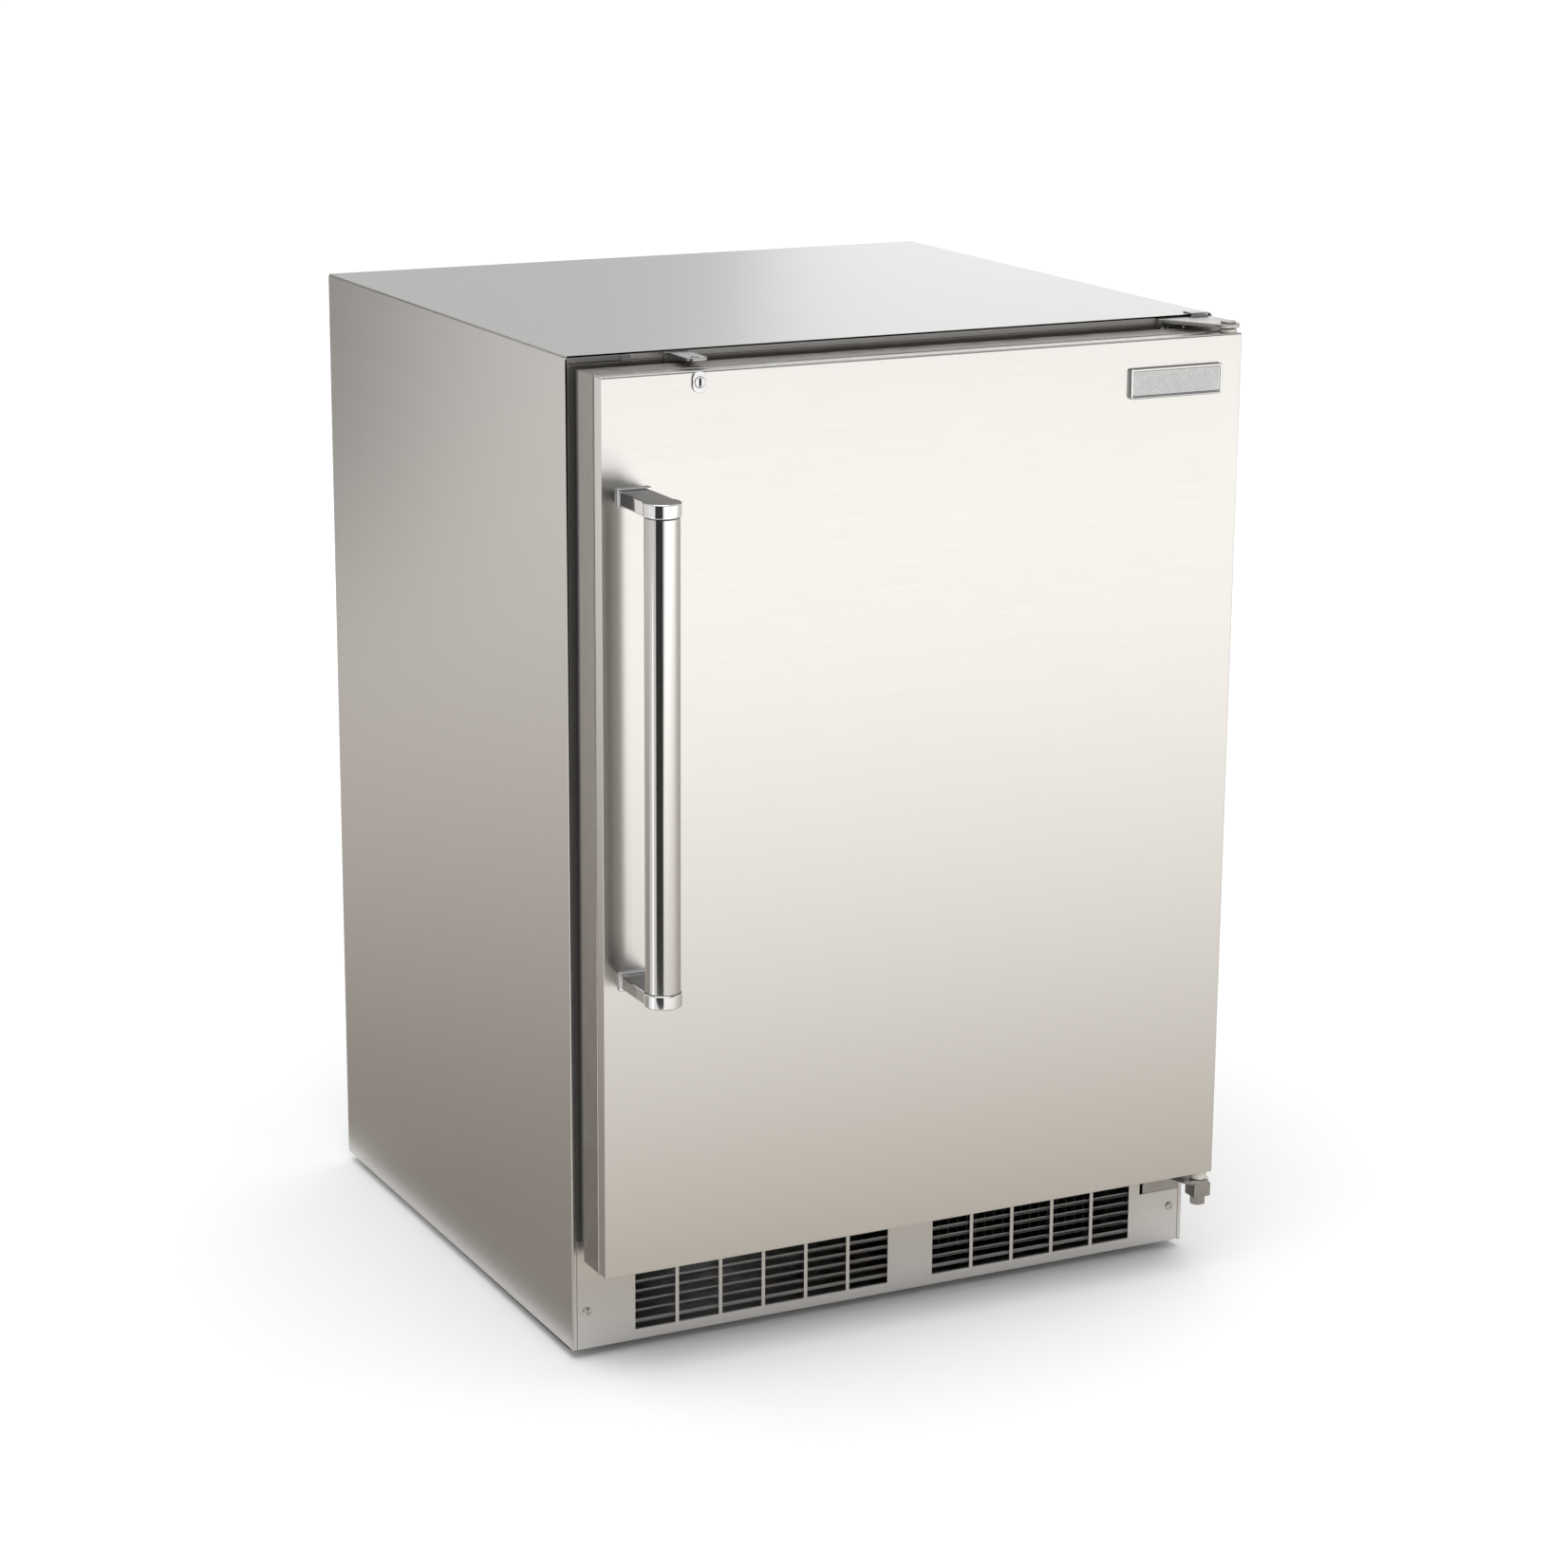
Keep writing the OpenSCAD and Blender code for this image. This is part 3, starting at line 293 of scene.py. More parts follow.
finish_of_slot.update({
    "dark_frame": moulded("face_frame_paint", (0.060, 0.058, 0.054), 0.5, 900.0, 0.00002),
    "liner_white": moulded("white_liner", (0.80, 0.80, 0.79), 0.30, 700.0, 0.00002, 0.97),
    "white_plastic": moulded("white_moulding", (0.78, 0.78, 0.76), 0.38, 1200.0, 0.00003, 0.97),
    "black_plastic": moulded("black_moulding", (0.022, 0.022, 0.024), 0.48, 1100.0, 0.00004),
    "grey_plastic": moulded("grey_moulding", (0.17, 0.165, 0.16), 0.42, 1100.0, 0.00003),
    "gasket_rubber": moulded("gasket_rubber", (0.085, 0.082, 0.078), 0.6, 500.0, 0.00003, 0.8),
    "mount_rubber": moulded("mount_rubber", (0.015, 0.015, 0.016), 0.7, 400.0, 0.00005, 0.7),
    "foam": moulded("insulating_foam", (0.70, 0.58, 0.30), 0.9, 260.0, 0.0006, 0.75),
    "compressor_paint": moulded("black_gloss_paint", (0.012, 0.012, 0.013), 0.22, 160.0, 0.00004),
    "shelf_coating": moulded("shelf_coating", (0.80, 0.80, 0.79), 0.24, 250.0, 0.00002, 0.96),
    "nylon": moulded("nylon_bush", (0.62, 0.60, 0.53), 0.42, 900.0, 0.00002),
    "clear_plastic": see_through("clear_rack", (0.93, 0.97, 0.98), 0.06, 0.92),
    "lens": see_through("frosted_lens", (0.95, 0.95, 0.92), 0.35, 0.7),
})
print("finishes:", len(finish_of_slot))

# %% Give every engineering piece its finish
for name, piece in frame["nodes"].items():
    piece.data.materials[0] = finish_of_slot[slot_of[name]]
frame["nodes"]["top_panel"].data.materials[0] = steel_top
# The condenser coil takes the black gloss paint: a black-painted coil, and also painted shade that keeps the
# kick plate's slots dark.
frame["nodes"]["condenser_coil"].data.materials[0] = finish_of_slot["compressor_paint"]
print("finished:", len(frame["nodes"]))

# %% [markdown]
# ## Rounded edges
# A folded sheet has a bend radius, a casting has a draft and a fillet, and a moulded
# part has both. The engineering shapes have sharp edges, which never catch the light
# as real ones do. A merged copy of such a shape gets a Bevel whose width is set edge
# by edge through bevel weights: an edge of a thin sheet takes under half of the
# sheet's thickness, while a fold between two broad faces takes the whole bend radius.
# A Weighted Normal modifier then keeps the broad faces flat in their reflections.

# %% Rounding kit
SHARP = math.radians(32.0)
FLAT = math.radians(0.4)
SAFE_SHARE = 0.42
FACING_FRONT = -0.7


def merged_copy(node):
    bm = bmesh.new()
    bm.from_mesh(frame["nodes"][node].data)
    bmesh.ops.remove_doubles(bm, verts=bm.verts, dist=0.00001)
    bmesh.ops.dissolve_limit(bm, angle_limit=FLAT, verts=bm.verts, edges=bm.edges)
    return bm


def depth_from(edge, face):
    start, end = (v.co for v in edge.verts)
    along = (end - start).normalized()
    return max((v.co - start - along * (v.co - start).dot(along)).length for v in face.verts)


def weigh_edges(bm, width):
    weight = bm.edges.layers.float.new("bevel_weight_edge")
    for edge in bm.edges:
        if len(edge.link_faces) == 2 and edge.calc_face_angle(0.0) > SHARP:
            room = min(depth_from(edge, face) for face in edge.link_faces) * SAFE_SHARE
            edge[weight] = min(1.0, room / width)


def new_piece(name, mesh, material):
    piece = bpy.data.objects.new(name, mesh)
    bpy.context.scene.collection.objects.link(piece)
    mesh.materials.clear()
    mesh.materials.append(material)
    return piece


def mesh_from(bm, name):
    mesh = bpy.data.meshes.new(name)
    bm.to_mesh(mesh)
    bm.free()
    if "custom_normal" in mesh.attributes:
        mesh.attributes.remove(mesh.attributes["custom_normal"])
    mesh.polygons.foreach_set("use_smooth", [True] * len(mesh.polygons))
    return mesh


def round_off(piece, width, segments):
    bevel = piece.modifiers.new("edge_radius", "BEVEL")
    bevel.limit_method = "WEIGHT"
    bevel.width = width
    bevel.segments = segments
    bevel.use_clamp_overlap = False
    level_faces(piece)


def level_faces(piece):
    normals = piece.modifiers.new("flat_faces", "WEIGHTED_NORMAL")
    normals.keep_sharp = True
    settled = bpy.data.meshes.new_from_object(piece.evaluated_get(bpy.context.evaluated_depsgraph_get()))
    piece.modifiers.clear()
    piece.data = settled
    settled.name = piece.name


def stand_for(piece, *nodes):
    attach(piece, body_of[nodes[0]])
    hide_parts(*nodes)


def rounded(node, width_mm, segments=3, material=None):
    bm = merged_copy(node)
    weigh_edges(bm, width_mm * MM)
    name = node + "_rounded"
    piece = new_piece(name, mesh_from(bm, name), material or finish_of_slot[slot_of[node]])
    round_off(piece, width_mm * MM, segments)
    stand_for(piece, node)
    return piece


print("rounding kit ready")

# %% [markdown]
# ## The folded steel and the mouldings
# These pieces keep the engineering model's shape and only gain their radii. The
# number beside each one is its bend or mould radius in millimetres. The front frame
# is painted dark; the strip of frame above the gasket takes the lighter door-edge
# steel as painted light, standing for the light from above in the gap over the door.
# The top panel's front lip is brushed upright like the side panels, so it has their finish.

# %% Cabinet sheet metal
cabinet_radii = {
    "side_panel_left": 1.3, "side_panel_right": 1.3, "back_panel": 0.4, "face_frame": 0.5,
    "compartment_liner": 0.6, "base_pan": 0.8, "rear_access_panel": 0.3,
}
for node, radius in cabinet_radii.items():
    rounded(node, radius)
rounded("top_panel", 1.2, 4, steel_top)


def finish_facing_front(piece, material, above=0.0):
    piece.data.materials.append(material)
    for face in piece.data.polygons:
        if face.normal.y < FACING_FRONT and face.center.z > above:
            face.material_index = 1


def cut_level(piece, height):
    bm = bmesh.new()
    bm.from_mesh(piece.data)
    everything = bm.verts[:] + bm.edges[:] + bm.faces[:]
    bmesh.ops.bisect_plane(bm, geom=everything, plane_co=(0, 0, height), plane_no=(0, 0, 1))
    bm.to_mesh(piece.data)
    bm.free()


# Above this height the frame's front faces take the lighter door-edge steel: painted light, the light from
# above in the gap over the door.
PAINTED_LIGHT_STRIP_HEIGHT = 850.5 * MM
face_frame = bpy.data.objects["face_frame_rounded"]
cut_level(face_frame, PAINTED_LIGHT_STRIP_HEIGHT)
finish_facing_front(face_frame, finish_of_slot["door_edge"], PAINTED_LIGHT_STRIP_HEIGHT)
finish_facing_front(bpy.data.objects["top_panel_rounded"], steel_side)
print("cabinet sheets rounded:", len(cabinet_radii) + 1)

# %% Door sheet metal
rounded("door_skin", 1.6, 5)
rounded("door_pan", 1.0, 3)
print("door sheets rounded")

# %% Brackets and mouldings
moulding_radii = {
    "top_hinge_plate": 0.6, "bottom_hinge_bracket": 0.7, "strike_bracket": 0.6, "hinge_hole_cover": 0.5,
    "hinge_pins": 0.8, "hinge_bushes": 0.6, "inner_liner": 7.0, "door_liner": 6.0, "door_racks": 2.4,
    "evaporator_cover": 2.0, "control_housing": 3.0, "lamp_lens": 2.0, "thermostat_knob": 0.8,
    "power_inlet": 1.2, "terminal_cover": 2.0, "drain_pan": 1.4, "condenser_fan_shroud": 1.0,
    "lock_bolt": 0.6, "foot_front_left": 1.5,
    "foot_front_right": 1.5, "foot_rear_left": 1.5, "foot_rear_right": 1.5,
}
for node, radius in moulding_radii.items():
    rounded(node, radius)
for node, radius in (("lock_housing", 0.4), ("lock_plug", 0.4)):
    rounded(node, radius, 3, finish_of_slot["lock_chrome"])
print("brackets and mouldings rounded:", len(moulding_radii) + 2)

# %% [markdown]
# ## The drawing kit
# The pieces below are drawn in the workshop's own numbers: millimetres from the
# cabinet's front face, middle line and underside. One function turns such a place
# into the shared frame. A loft joins a row of equal rings with quads, which is how
# a swept, turned or stepped shape is made from its outline alone.

# %% Drawing kit
FRONT_FACE = -209.65
UNDERSIDE = 8.0


def at(x, y, z):
    return Vector((x, y + FRONT_FACE, z + UNDERSIDE)) * MM


def arc(middle, radius, start, end, steps):
    turns = [math.radians(start + (end - start) * i / steps) for i in range(steps + 1)]
    return [(middle[0] + radius * math.cos(t), middle[1] + radius * math.sin(t)) for t in turns]


def round_corners(low, high, radius, steps=4):
    outline = arc((high[0] - radius, high[1] - radius), radius, 0, 90, steps)
    outline += arc((low[0] + radius, high[1] - radius), radius, 90, 180, steps)
    outline += arc((low[0] + radius, low[1] + radius), radius, 180, 270, steps)
    outline += arc((high[0] - radius, low[1] + radius), radius, 270, 360, steps)
    return outline


def loft(bm, rings, closed=False):
    rows = [[bm.verts.new(place) for place in ring] for ring in rings]
    pairs = list(zip(rows, rows[1:]))
    if closed:
        pairs.append((rows[-1], rows[0]))
    for one, two in pairs:
        for i in range(len(one)):
            j = (i + 1) % len(one)
            bm.faces.new((one[i], one[j], two[j], two[i]))
    if not closed:
        bm.faces.new(rows[0][::-1])
        bm.faces.new(rows[-1])


def prism(bm, outline, low, high):
    loft(bm, [[at(x, y, z) for x, y in outline] for z in (low, high)])


def block(bm, low, high):
    corners = [(low[0], low[1]), (high[0], low[1]), (high[0], high[1]), (low[0], high[1])]
    prism(bm, corners, low[2], high[2])


def rod(bm, start, end, radius, steps=12):
    along = (end - start).normalized()
    side = along.orthogonal().normalized()
    other = along.cross(side)
    turns = [2 * math.pi * i / steps for i in range(steps)]
    spokes = [(side * math.cos(t) + other * math.sin(t)) * radius for t in turns]
    loft(bm, [[place + spoke for spoke in spokes] for place in (start, end)])


def finish_drawing(bm, name, material, width_mm=0.0, segments=3):
    bmesh.ops.recalc_face_normals(bm, faces=bm.faces)
    if width_mm:
        weigh_edges(bm, width_mm * MM)
    piece = new_piece(name, mesh_from(bm, name), material)
    if width_mm:
        round_off(piece, width_mm * MM, segments)
    else:
        piece.data.set_sharp_from_angle(angle=SHARP)
        level_faces(piece)
    return piece


print("drawing kit ready")

# %% [markdown]
# ## The handle
# The grip is a length of polished stainless tube, cut square with its rims dressed.
# Turning its wall's outline about the tube's own axis gives the true hollow tube.

# %% Handle tube
BAR = (-270.0, -112.2)
ARM_HEIGHTS = ((338.0, 350.0), (739.0, 751.0))


def turned(bm, axis, profile, steps):
    rings = []
    for i in range(steps):
        turn = 2 * math.pi * i / steps
        rings.append([at(axis[0] + r * math.cos(turn), axis[1] + r * math.sin(turn), z) for r, z in profile])
    loft(bm, rings, closed=True)


wall = [(14.5, 350.9), (14.5, 738.1), (14.3, 738.6), (13.8, 738.8), (12.7, 738.8), (12.5, 738.4)]
wall += [(12.5, 350.6), (12.7, 350.2), (13.8, 350.2), (14.3, 350.4)]
bm = bmesh.new()
turned(bm, BAR, wall, 72)
handle_tube = finish_drawing(bm, "handle_tube", steel_tube)
stand_for(handle_tube, "handle_bar")
print("handle tube:", len(handle_tube.data.polygons), "faces")

# %% [markdown]
# Each end is one casting: a flat strap from the door that closes round the tube as a
# collar, with a thin pad against the door. The strap's and collar's outline is one
# closed line, so the casting has no seam where the straight sides meet the round.

# %% Handle castings
COLLAR_RADIUS = 15.5
STRAP_HALF = 13.5
DOOR_FACE = -57.2


def casting_outline():
    meet = math.degrees(math.asin(math.sqrt(COLLAR_RADIUS ** 2 - STRAP_HALF ** 2) / COLLAR_RADIUS))
    outline = [(BAR[0] + STRAP_HALF, DOOR_FACE - 2.6), (BAR[0] - STRAP_HALF, DOOR_FACE - 2.6)]
    return outline + arc(BAR, COLLAR_RADIUS, 180 - meet, 360 + meet, 40)


bm = bmesh.new()
for low, high in ARM_HEIGHTS:
    prism(bm, casting_outline(), low, high)
    block(bm, (BAR[0] - 15.0, DOOR_FACE - 3.0, low - 2.0), (BAR[0] + 15.0, DOOR_FACE, high + 2.0))
handle_castings = finish_drawing(bm, "handle_castings", finish_of_slot["chrome"], 1.4, 4)
stand_for(handle_castings, "handle_arms")
print("handle castings:", len(handle_castings.data.polygons), "faces")

# %% [markdown]
# ## The badge
# A small plate is pressed so that its border stands proud of a flat middle. It is
# left blank. Each ring of the loft is one step of the press tool: out from the door,
# over the rounded border and down to the middle, which is a field of its own.

# %% Badge
BADGE_LOW = (186.0, 792.0)
BADGE_HIGH = (277.0, 818.0)
badge_steps = ((0.0, 0.0), (0.0, 2.5), (0.25, 3.1), (0.8, 3.5))
badge_steps += ((2.0, 3.5), (2.5, 3.2), (2.8, 2.7), (3.3, 2.5))


def badge_ring(inset, out):
    low = (BADGE_LOW[0] + inset, BADGE_LOW[1] + inset)
    high = (BADGE_HIGH[0] - inset, BADGE_HIGH[1] - inset)
    return [at(x, DOOR_FACE - out, z) for x, z in round_corners(low, high, max(0.4, 2.4 - inset * 0.6))]


bm = bmesh.new()
loft(bm, [badge_ring(inset, out) for inset, out in badge_steps])
badge = finish_drawing(bm, "badge_blank", finish_of_slot["badge_metal"])
badge.data.materials.append(finish_of_slot["badge_middle"])
facing = [face for face in badge.data.polygons if face.normal.y < -0.99]
max(facing, key=lambda face: face.area).material_index = 1
stand_for(badge, "badge_plate")
print("badge:", len(badge.data.polygons), "faces")

# %% [markdown]
# ## The door's magnetic gasket
# A refrigerator's gasket is extruded rubber: a base pushed into the door's edge, a
# thin bellows that gives as the door shuts, and a flat pocket that holds the magnet.
# The section is drawn once, from the outer edge (0) to the inner edge (1), and
# carried round the door. Its corners are welded at forty-five degrees, as real ones.

# %% Gasket
section = ((0, -12.2), (0, -6.2), (0.02, -5.2), (0.3, -5.0), (0.33, -3.2), (0.36, -1.2), (0.42, -0.45))
section += ((0.75, -0.35), (0.93, -0.8), (1, -2.5), (0.97, -4.6), (0.92, -6.0), (0.99, -7.5), (1, -9.5))
section += ((0.97, -12.2),)
GASKET_OUTER = (296.5, 98.0, 841.0)
GASKET_INNER = (264.0, 126.0, 810.0)


def gasket_ring(share, y):
    half, low, high = (a + (b - a) * share for a, b in zip(GASKET_OUTER, GASKET_INNER))
    return [at(-half, y, low), at(half, y, low), at(half, y, high), at(-half, y, high)]


bm = bmesh.new()
loft(bm, [gasket_ring(share, y) for share, y in section], closed=True)
gasket = finish_drawing(bm, "magnetic_gasket", finish_of_slot["gasket_rubber"])
stand_for(gasket, "door_gasket")
print("gasket:", len(gasket.data.polygons), "faces")

# %% [markdown]
# ## What repeats
# Screws, louvre blades and shelf wires are one shape set down many times. A small
# Geometry Nodes tree does it: it puts a shape on every point of a mesh, turns each
# one about the shape's own axis by a seeded random angle, and gives them a material.
# Its result is baked, so the finished piece is an ordinary mesh.

# %% Repeating tree
def repeating_tree():
    tree = bpy.data.node_groups.new("repeat_on_points", "GeometryNodeTree")
    face = tree.interface
    face.new_socket("Geometry", in_out="OUTPUT", socket_type="NodeSocketGeometry")
    face.new_socket("Points", in_out="INPUT", socket_type="NodeSocketGeometry")
    face.new_socket("Shape", in_out="INPUT", socket_type="NodeSocketObject")
    face.new_socket("Largest Turn", in_out="INPUT", socket_type="NodeSocketFloat")
    face.new_socket("Seed", in_out="INPUT", socket_type="NodeSocketInt")
    face.new_socket("Material", in_out="INPUT", socket_type="NodeSocketMaterial")
    given = tree.nodes.new("NodeGroupInput")
    shape = tree.nodes.new("GeometryNodeObjectInfo")
    turn = tree.nodes.new("FunctionNodeRandomValue")
    turn.data_type = "FLOAT"
    axis = tree.nodes.new("ShaderNodeCombineXYZ")
    place = tree.nodes.new("GeometryNodeInstanceOnPoints")
    real = tree.nodes.new("GeometryNodeRealizeInstances")
    paint = tree.nodes.new("GeometryNodeSetMaterial")
    result = tree.nodes.new("NodeGroupOutput")
    join = tree.links.new
    join(given.outputs["Points"], place.inputs["Points"])
    join(given.outputs["Shape"], shape.inputs["Object"])
    join(shape.outputs["Geometry"], place.inputs["Instance"])
    join(given.outputs["Largest Turn"], turn.inputs[3])
    join(given.outputs["Seed"], turn.inputs["Seed"])
    join(turn.outputs[1], axis.inputs["Y"])
    join(axis.outputs[0], place.inputs["Rotation"])
    join(place.outputs["Instances"], real.inputs["Geometry"])
    join(real.outputs["Geometry"], paint.inputs["Geometry"])
    join(given.outputs["Material"], paint.inputs["Material"])
    join(paint.outputs["Geometry"], result.inputs["Geometry"])
    return tree


repeat_on_points = repeating_tree()
socket_of = {s.name: s.identifier for s in repeat_on_points.interface.items_tree if s.in_out == "INPUT"}


def repeated(bm_shape, places, material, largest_turn=0.0, seed=1):
    bmesh.ops.recalc_face_normals(bm_shape, faces=bm_shape.faces)
    shape = new_piece("shape_to_repeat", mesh_from(bm_shape, "shape_to_repeat"), material)
    shape.data.set_sharp_from_angle(angle=SHARP)
    mesh = bpy.data.meshes.new("places")
    mesh.from_pydata([tuple(p) for p in places], [], [])
    points = new_piece("places", mesh, material)
    repeat = points.modifiers.new("repeat", "NODES")
    repeat.node_group = repeat_on_points
    repeat[socket_of["Shape"]] = shape
    repeat[socket_of["Largest Turn"]] = largest_turn
    repeat[socket_of["Seed"]] = seed
    repeat[socket_of["Material"]] = material
    made = bpy.data.meshes.new_from_object(points.evaluated_get(bpy.context.evaluated_depsgraph_get()))
    bpy.data.objects.remove(points)
    bpy.data.objects.remove(shape)
    return made


def joined_piece(name, meshes, material):
    bm = bmesh.new()
    for mesh in meshes:
        bm.from_mesh(mesh)
    piece = new_piece(name, mesh_from(bm, name), material)
    piece.data.set_sharp_from_angle(angle=SHARP)
    return piece


print("repeating tree inputs:", sorted(socket_of))

# %% [markdown]
# ## Screws
# The screws are pan heads with a cross recess. The head is a dome drawn as rings of
# points, and the points that fall inside the cross are pushed in by the recess's
# depth. A shank stands behind the head. `way` is -1 for a head that faces the front.

# %% Screws
def screw_shape(head, height, shank, depth, way=-1):
    bm = bmesh.new()
    steps = 48
    shares = (0.0, 0.1, 0.17, 0.2, 0.3, 0.42, 0.52, 0.56, 0.7, 0.84, 0.94, 1.0)
    arm = head * 0.17
    reach = head * 0.55
    rings = []
    for share in reversed(shares[1:]):
        ring = []
        for i in range(steps):
            turn = 2 * math.pi * i / steps
            x, z = head * share * math.cos(turn), head * share * math.sin(turn)
            out = height * (0.25 + 0.75 * math.sqrt(max(0.0, 1 - share ** 2.6)))
            if min(abs(x), abs(z)) < arm and head * share < reach:
                out -= height * 0.62 * (1.15 - share)
            ring.append(Vector((x, way * out, z)) * MM)
        rings.append(ring)
    skirt = [Vector((p.x, 0.0, p.z)) for p in rings[0]]
    neck = [Vector((p.x * shank / head, 0.0, p.z * shank / head)) for p in rings[0]]
    tip = [p + Vector((0.0, -way * depth * MM, 0.0)) for p in neck]
    loft(bm, [tip, neck, skirt] + rings)
    return bm


def screws(name, groups, node):
    material = finish_of_slot[slot_of[node]]
    meshes = []
    for number, (sizes, places) in enumerate(groups):
        spots = [at(*place) for place in places]
        meshes.append(repeated(screw_shape(*sizes), spots, material, math.pi / 2, number + 3))
    stand_for(joined_piece(name, meshes, material), node)


screws("kick_screws", [((4.0, 2.2, 2.0, 8.0), [(-290, 0, 34), (290, 0, 34)])], "kick_plate_screws")
screws("hinge_and_strike_screws", [
    ((4.2, 2.0, 2.4, 14.0), [(254, -2.5, 839), (270, -2.5, 839)]),
    ((4.2, 2.0, 2.4, 8.0), [(268, -1.8, 88), (284, -1.8, 88)]),
    ((3.8, 1.8, 2.0, 12.0), [(-211, -2, 836), (-199, -2, 836)]),
], "bracket_screws")
screws("back_panel_screws", [
    ((4.0, 2.0, 2.0, 6.0, 1), [(x, 545, z) for x in (-276, 276) for z in (16, 198)]),
], "rear_panel_screws")
print("screws: 12 in 3 pieces")

# %% [markdown]
# ## The kick plate
# The kick plate lets air reach the condenser. Each of its eleven windows is filled
# with a ladder of sloping blades: they lean back towards the floor, so a person who
# looks down sees mostly dark gaps, and nothing can be pushed straight in. The sheet
# is drawn as a grid of oblongs with the windows and the hinge's notch left out.

# %% Kick plate sheet
WINDOW = (37.7, 75.4)
WINDOW_LOW = 10.0
COLUMN_PITCH = 41.2
ROW_PITCH = 8.8
LOWEST_SLOT = 5.0
BLADES_IN_WINDOW = 8
KICK_HALF_WIDTH = 298.7
KICK_LOW, KICK_HIGH = 0.5, 100.0
KICK_THICK = 1.2
NOTCH_X, NOTCH_Z = 258.0, 50.2
LEFT_GROUP, RIGHT_GROUP = (-244.6, 6), (44.0, 5)
columns = [first + i * COLUMN_PITCH for first, count in (LEFT_GROUP, RIGHT_GROUP) for i in range(count)]
edges_x = sorted([-KICK_HALF_WIDTH, NOTCH_X, KICK_HALF_WIDTH] + columns + [x + WINDOW[0] for x in columns])
edges_z = [KICK_LOW, WINDOW_LOW, NOTCH_Z, WINDOW_LOW + WINDOW[1], KICK_HIGH]


def is_sheet(x, z):
    in_column = any(start < x < start + WINDOW[0] for start in columns)
    in_window = in_column and WINDOW_LOW < z < WINDOW_LOW + WINDOW[1]
    in_notch = x > NOTCH_X and z > NOTCH_Z
    return not in_window and not in_notch


def kick_sheet_grid(bm, front, back):
    inside = 0.1
    corners = {}

    def corner(x, y, z):
        if (x, y, z) not in corners:
            corners[(x, y, z)] = bm.verts.new(at(x, y, z))
        return corners[(x, y, z)]

    cells = [(i, j) for i in range(len(edges_x) - 1) for j in range(len(edges_z) - 1)
             if is_sheet(edges_x[i] + inside, edges_z[j] + inside)]
    for i, j in cells:
        x0, x1, z0, z1 = edges_x[i], edges_x[i + 1], edges_z[j], edges_z[j + 1]
        bm.faces.new([corner(x, front, z) for x, z in ((x0, z0), (x1, z0), (x1, z1), (x0, z1))])
        bm.faces.new([corner(x, back, z) for x, z in ((x0, z0), (x0, z1), (x1, z1), (x1, z0))])
        sides = (((i - 1, j), (x0, z1), (x0, z0)), ((i + 1, j), (x1, z0), (x1, z1)),
                 ((i, j - 1), (x0, z0), (x1, z0)), ((i, j + 1), (x1, z1), (x0, z1)))
        for beside, (xa, za), (xb, zb) in sides:
            if beside not in cells:
                bm.faces.new([corner(xa, front, za), corner(xa, back, za),
                              corner(xb, back, zb), corner(xb, front, zb)])


bm = bmesh.new()
kick_sheet_grid(bm, 0.0, KICK_THICK)
kick_sheet = finish_drawing(bm, "kick_plate_sheet", steel_side, 0.35, 2)
stand_for(kick_sheet, "kick_plate")
print("kick-plate sheet:", len(kick_sheet.data.polygons), "faces")

# %% Kick-plate blades
def blade_shape():
    bm = bmesh.new()
    ends = (-0.4, WINDOW[0] + 0.4)
    section = ((0.15, 3.75), (0.9, 4.1), (3.5, 0.3), (2.9, -0.25))
    loft(bm, [[Vector((x, y, z)) * MM for y, z in section] for x in ends])
    return bm


blade_rows = [WINDOW_LOW + LOWEST_SLOT + i * ROW_PITCH for i in range(BLADES_IN_WINDOW)]
places = [at(x, 0.0, z) for x in columns for z in blade_rows]
blades = joined_piece("kick_plate_blades", [repeated(blade_shape(), places, steel_side)], steel_side)
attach(blades, body_of["kick_plate"])
print("kick-plate blades:", len(places))

# %% [markdown]
# ## Back-panel hoods
# The slots of the service panel at the back have low pressed hoods on one side, which
# keep a wall or a falling drip away from the opening.

# %% Back-panel hoods
def hood_shape():
    bm = bmesh.new()
    outline = arc((0.0, 0.0), 1.0, 0, 180, 6)
    rings = []
    for share, z in ((0.15, 60.5), (0.7, 61.5), (1.0, 64.0), (1.0, 156.0), (0.7, 158.5), (0.15, 159.5)):
        rings.append([Vector((2.0 * share * x, 1.5 * share * y + 0.02, z)) * MM for x, y in outline])
    loft(bm, rings)
    return bm


places = [at(side + i * 9 - 62.4, 545.0, 0.0) for side in (-150, 70) for i in range(14)]
zinc_panel = finish_of_slot["galvanised"]
hoods = joined_piece("back_panel_hoods", [repeated(hood_shape(), places, zinc_panel)], zinc_panel)
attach(hoods, body_of["rear_access_panel"])
print("back-panel hoods:", len(places))

# %% [markdown]
# ## Wire shelves
# A shelf is welded from drawn wire and dipped in a white coating. The thick outer
# wire is bent from one length, with real corners; two thinner wires cross under the
# floor, and twenty-one run from front to back. The floor wires are repeated.

# %% Shelves
RAIL_X = 247.5
RAIL_Y = (93.0, 427.0)
RAIL_RADIUS = 3.0
FLOOR_WIRES = 21


def shelf_frame(bm, z):
    outline = round_corners((-RAIL_X, RAIL_Y[0]), (RAIL_X, RAIL_Y[1]), 9.0, 6)
    rings = []
    count = len(outline)
    for i, (x, y) in enumerate(outline):
        before, after = Vector(outline[i - 1]), Vector(outline[(i + 1) % count])
        along = (after - before).normalized()
        out = Vector((along.y, -along.x))
        spokes = [(RAIL_RADIUS * math.cos(t), RAIL_RADIUS * math.sin(t)) for t in
                  (2 * math.pi * k / 16 for k in range(16))]
        rings.append([at(x + out.x * a, y + out.y * a, z + b) for a, b in spokes])
    loft(bm, rings, closed=True)
    for y in (200.0, 320.0):
        rod(bm, at(-RAIL_X, y, z), at(RAIL_X, y, z), 2.0 * MM)


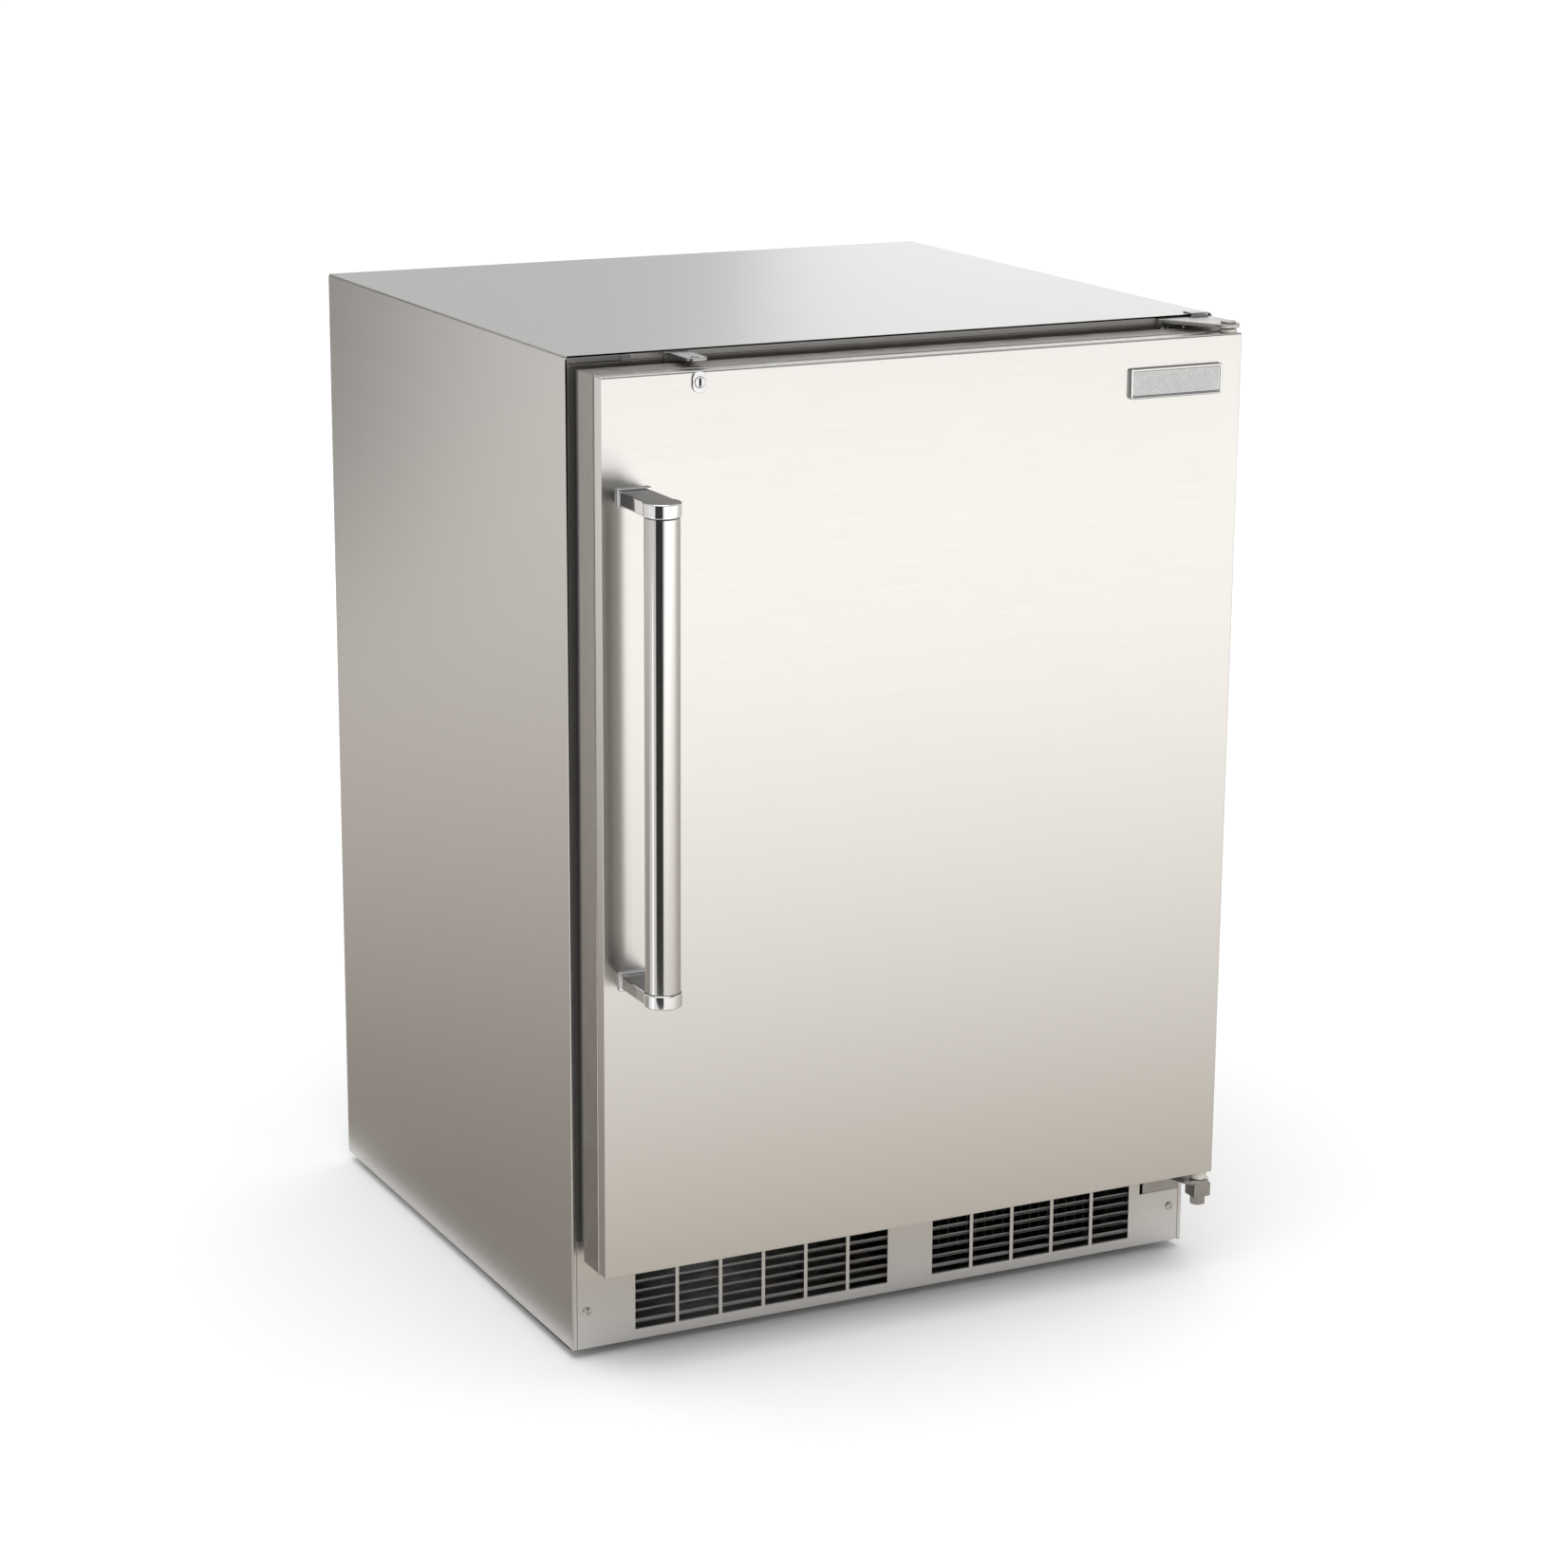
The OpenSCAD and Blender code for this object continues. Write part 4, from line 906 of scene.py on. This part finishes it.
def wire_shelf(name, node, rest_z):
    material = finish_of_slot[slot_of[node]]
    rail_z = rest_z + RAIL_RADIUS + 0.3
    first = -RAIL_X + 12.0
    step = -2 * first / (FLOOR_WIRES - 1)
    wire = bmesh.new()
    length = Vector((0.0, (RAIL_Y[1] - RAIL_Y[0]) * MM, 0.0))
    rod(wire, Vector(), length, 1.6 * MM, 10)
    places = [at(first + i * step, RAIL_Y[0], rail_z + 2.0) for i in range(FLOOR_WIRES)]
    floor_wires = repeated(wire, places, material)
    bm = bmesh.new()
    shelf_frame(bm, rail_z)
    bmesh.ops.recalc_face_normals(bm, faces=bm.faces)
    bm.from_mesh(floor_wires)
    shelf = new_piece(name, mesh_from(bm, name), material)
    shelf.data.set_sharp_from_angle(angle=SHARP)
    stand_for(shelf, node)


for name, height in (("lower", 350.0), ("middle", 485.0), ("upper", 620.0)):
    wire_shelf(name + "_wire_shelf", "shelf_" + name, height)
print("shelves: 3 with", FLOOR_WIRES, "floor wires each")

# %% [markdown]
# ## Floor, sky and lamps
# The machine stands on a wide white floor under an even sky. A broad lamp straight
# above lights the floor, and a lamp box behind, to the right, is what the top panel
# mirrors, so the top fades from bright to dark. Steel shows little but what it
# mirrors, so its tones are set as a studio sets them, with cards. Only shiny
# surfaces see the cards, so what they show is painted reflection. One on the floor in
# front fades from grey to a glowing white, and the door mirrors it; its grey end by
# the cabinet is painted shade. A darker one lies beside the cabinet as painted shade
# for the side panel, and two dark standing ones, high in front and behind to the left,
# are painted shade in the door's and the side panel's reflections. A narrow glowing one
# and a standing black one draw the two upright lines on the handle's tube.

# %% Floor
def studio_floor():
    finish = Finish("pale_floor", (0.90, 0.90, 0.90), 0.0, 0.9)
    finish.vary_colour(finish.noise(EVEN, 0.8, 2.0), 0.99)
    finish.bump(finish.noise(EVEN, 60.0, 2.0), 0.0002, 0.2)
    bm = bmesh.new()
    bmesh.ops.create_circle(bm, cap_ends=True, segments=64, radius=60.0)
    floor = new_piece("studio_floor", mesh_from(bm, "studio_floor"), finish.material)
    floor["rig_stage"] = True


studio_floor()

# %% Cards
def card(name, corners, colours, glow=0.0, fade=None):
    finish = Finish(name, colours[1], 0.0, 0.9)
    finish.set("Emission Strength", glow)
    if fade:
        start, end = (Vector(p) for p in fade)
        way = (end - start) / (end - start).length_squared
        offset = start.dot(way)
        place = finish.add("ShaderNodeTexCoord")
        along = finish.add("ShaderNodeVectorMath")
        along.operation = "DOT_PRODUCT"
        along.inputs[1].default_value = (way.x, way.y, 0.0)
        blend = finish.add("ShaderNodeMapRange", From_Min=offset, From_Max=offset + 1.0)
        mix = finish.add("ShaderNodeMix")
        mix.data_type = "RGBA"
        mix.inputs[6].default_value = (*colours[0], 1.0)
        mix.inputs[7].default_value = (*colours[1], 1.0)
        finish.join(place.outputs["Object"], along.inputs[0])
        finish.join(along.outputs["Value"], blend.inputs["Value"])
        finish.join(blend.outputs["Result"], mix.inputs[0])
        finish.join(mix.outputs[2], finish.shader.inputs["Base Color"])
        finish.join(mix.outputs[2], finish.shader.inputs["Emission Color"])
    mesh = bpy.data.meshes.new(name)
    mesh.from_pydata(corners, [], [tuple(range(len(corners)))])
    sheet = new_piece(name, mesh, finish.material)
    sheet.visible_camera = False
    sheet.visible_diffuse = False
    sheet.visible_shadow = False
    sheet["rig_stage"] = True


def standing(start, end, low, high):
    return [(*start, low), (*end, low), (*end, high), (*start, high)]


def lying(*corners):
    return [(*corner, CARD_Z) for corner in corners]


CARD_Z = 0.003
WHITE_CARD = (0.90, 0.895, 0.885)
BLACK_CARD = (0.05, 0.05, 0.05)
# The grey ends of the floor cards by the cabinet are painted shade: the floor's contact shadow as the steel
# mirrors it.
card("side_floor_card", lying((-0.32, -0.25), (-0.32, 5.0), (-4.0, 5.0), (-4.0, 1.5)),
     ((0.30, 0.27, 0.24), (0.80, 0.765, 0.72)), 0.0, ((-0.3, 0.7), (-2.2, 2.4)))
card("door_floor_card", lying((-0.9, -0.29), (-0.9, -6.5), (5.0, -6.5), (5.0, -0.29)),
     ((0.23, 0.211, 0.183), WHITE_CARD), 1.45, ((0.0, -0.3), (0.0, -3.3)))
card("handle_glow_card", lying((-0.9, -0.38), (-3.5, -0.66), (-3.5, -0.10), (-0.9, -0.28)),
     (WHITE_CARD, WHITE_CARD), 1.2)
card("dark_front_wall", standing((-3.0, -6.5), (8.0, -6.5), 1.5, 6.0), (BLACK_CARD, BLACK_CARD))
card("dark_side_wall", standing((-1.42, 2.9), (0.12, 3.1), 0.0, 2.2), (BLACK_CARD, (0.22, 0.21, 0.20)))
card("handle_stripe_card", standing((-0.63, -1.27), (-1.32, -0.78), 0.0, 1.7), (BLACK_CARD, BLACK_CARD))
print("cards laid and stood")

# %% Lamps
def lamp_box(name, place, width, height, watts):
    data = bpy.data.lights.new(name, "AREA")
    data.shape = "RECTANGLE"
    data.size = width
    data.size_y = height
    data.energy = watts
    lamp = bpy.data.objects.new(name, data)
    bpy.context.scene.collection.objects.link(lamp)
    ahead = Vector((0.0, 0.0, 0.45)) - Vector(place)
    lamp.matrix_world = Matrix.Translation(place) @ ahead.to_track_quat("-Z", "Y").to_matrix().to_4x4()
    lamp.visible_camera = False


def broad_lamp(name, ahead, spread_degrees, strength):
    data = bpy.data.lights.new(name, "SUN")
    data.angle = math.radians(spread_degrees)
    data.energy = strength
    lamp = bpy.data.objects.new(name, data)
    bpy.context.scene.collection.objects.link(lamp)
    lamp.matrix_world = Vector(ahead).to_track_quat("-Z", "Y").to_matrix().to_4x4()


broad_lamp("overhead_lamp", (0.15, 0.2, -1.0), 60.0, 1.6)
lamp_box("back_right_box", (3.0, 2.6, 1.2), 3.4, 2.2, 20.0)
print("lamps:", len(bpy.data.lights))

# %% Sky
world = bpy.data.worlds.new("studio_sky")
bpy.context.scene.world = world
world.use_nodes = True
world.node_tree.nodes["Background"].inputs["Color"].default_value = (1.0, 1.0, 1.0, 1.0)
world.node_tree.nodes["Background"].inputs["Strength"].default_value = 0.75
bpy.context.scene.view_settings.view_transform = "Standard"

# %% Finish
low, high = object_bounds()
print("size:", [round(v, 4) for v in (high - low)])
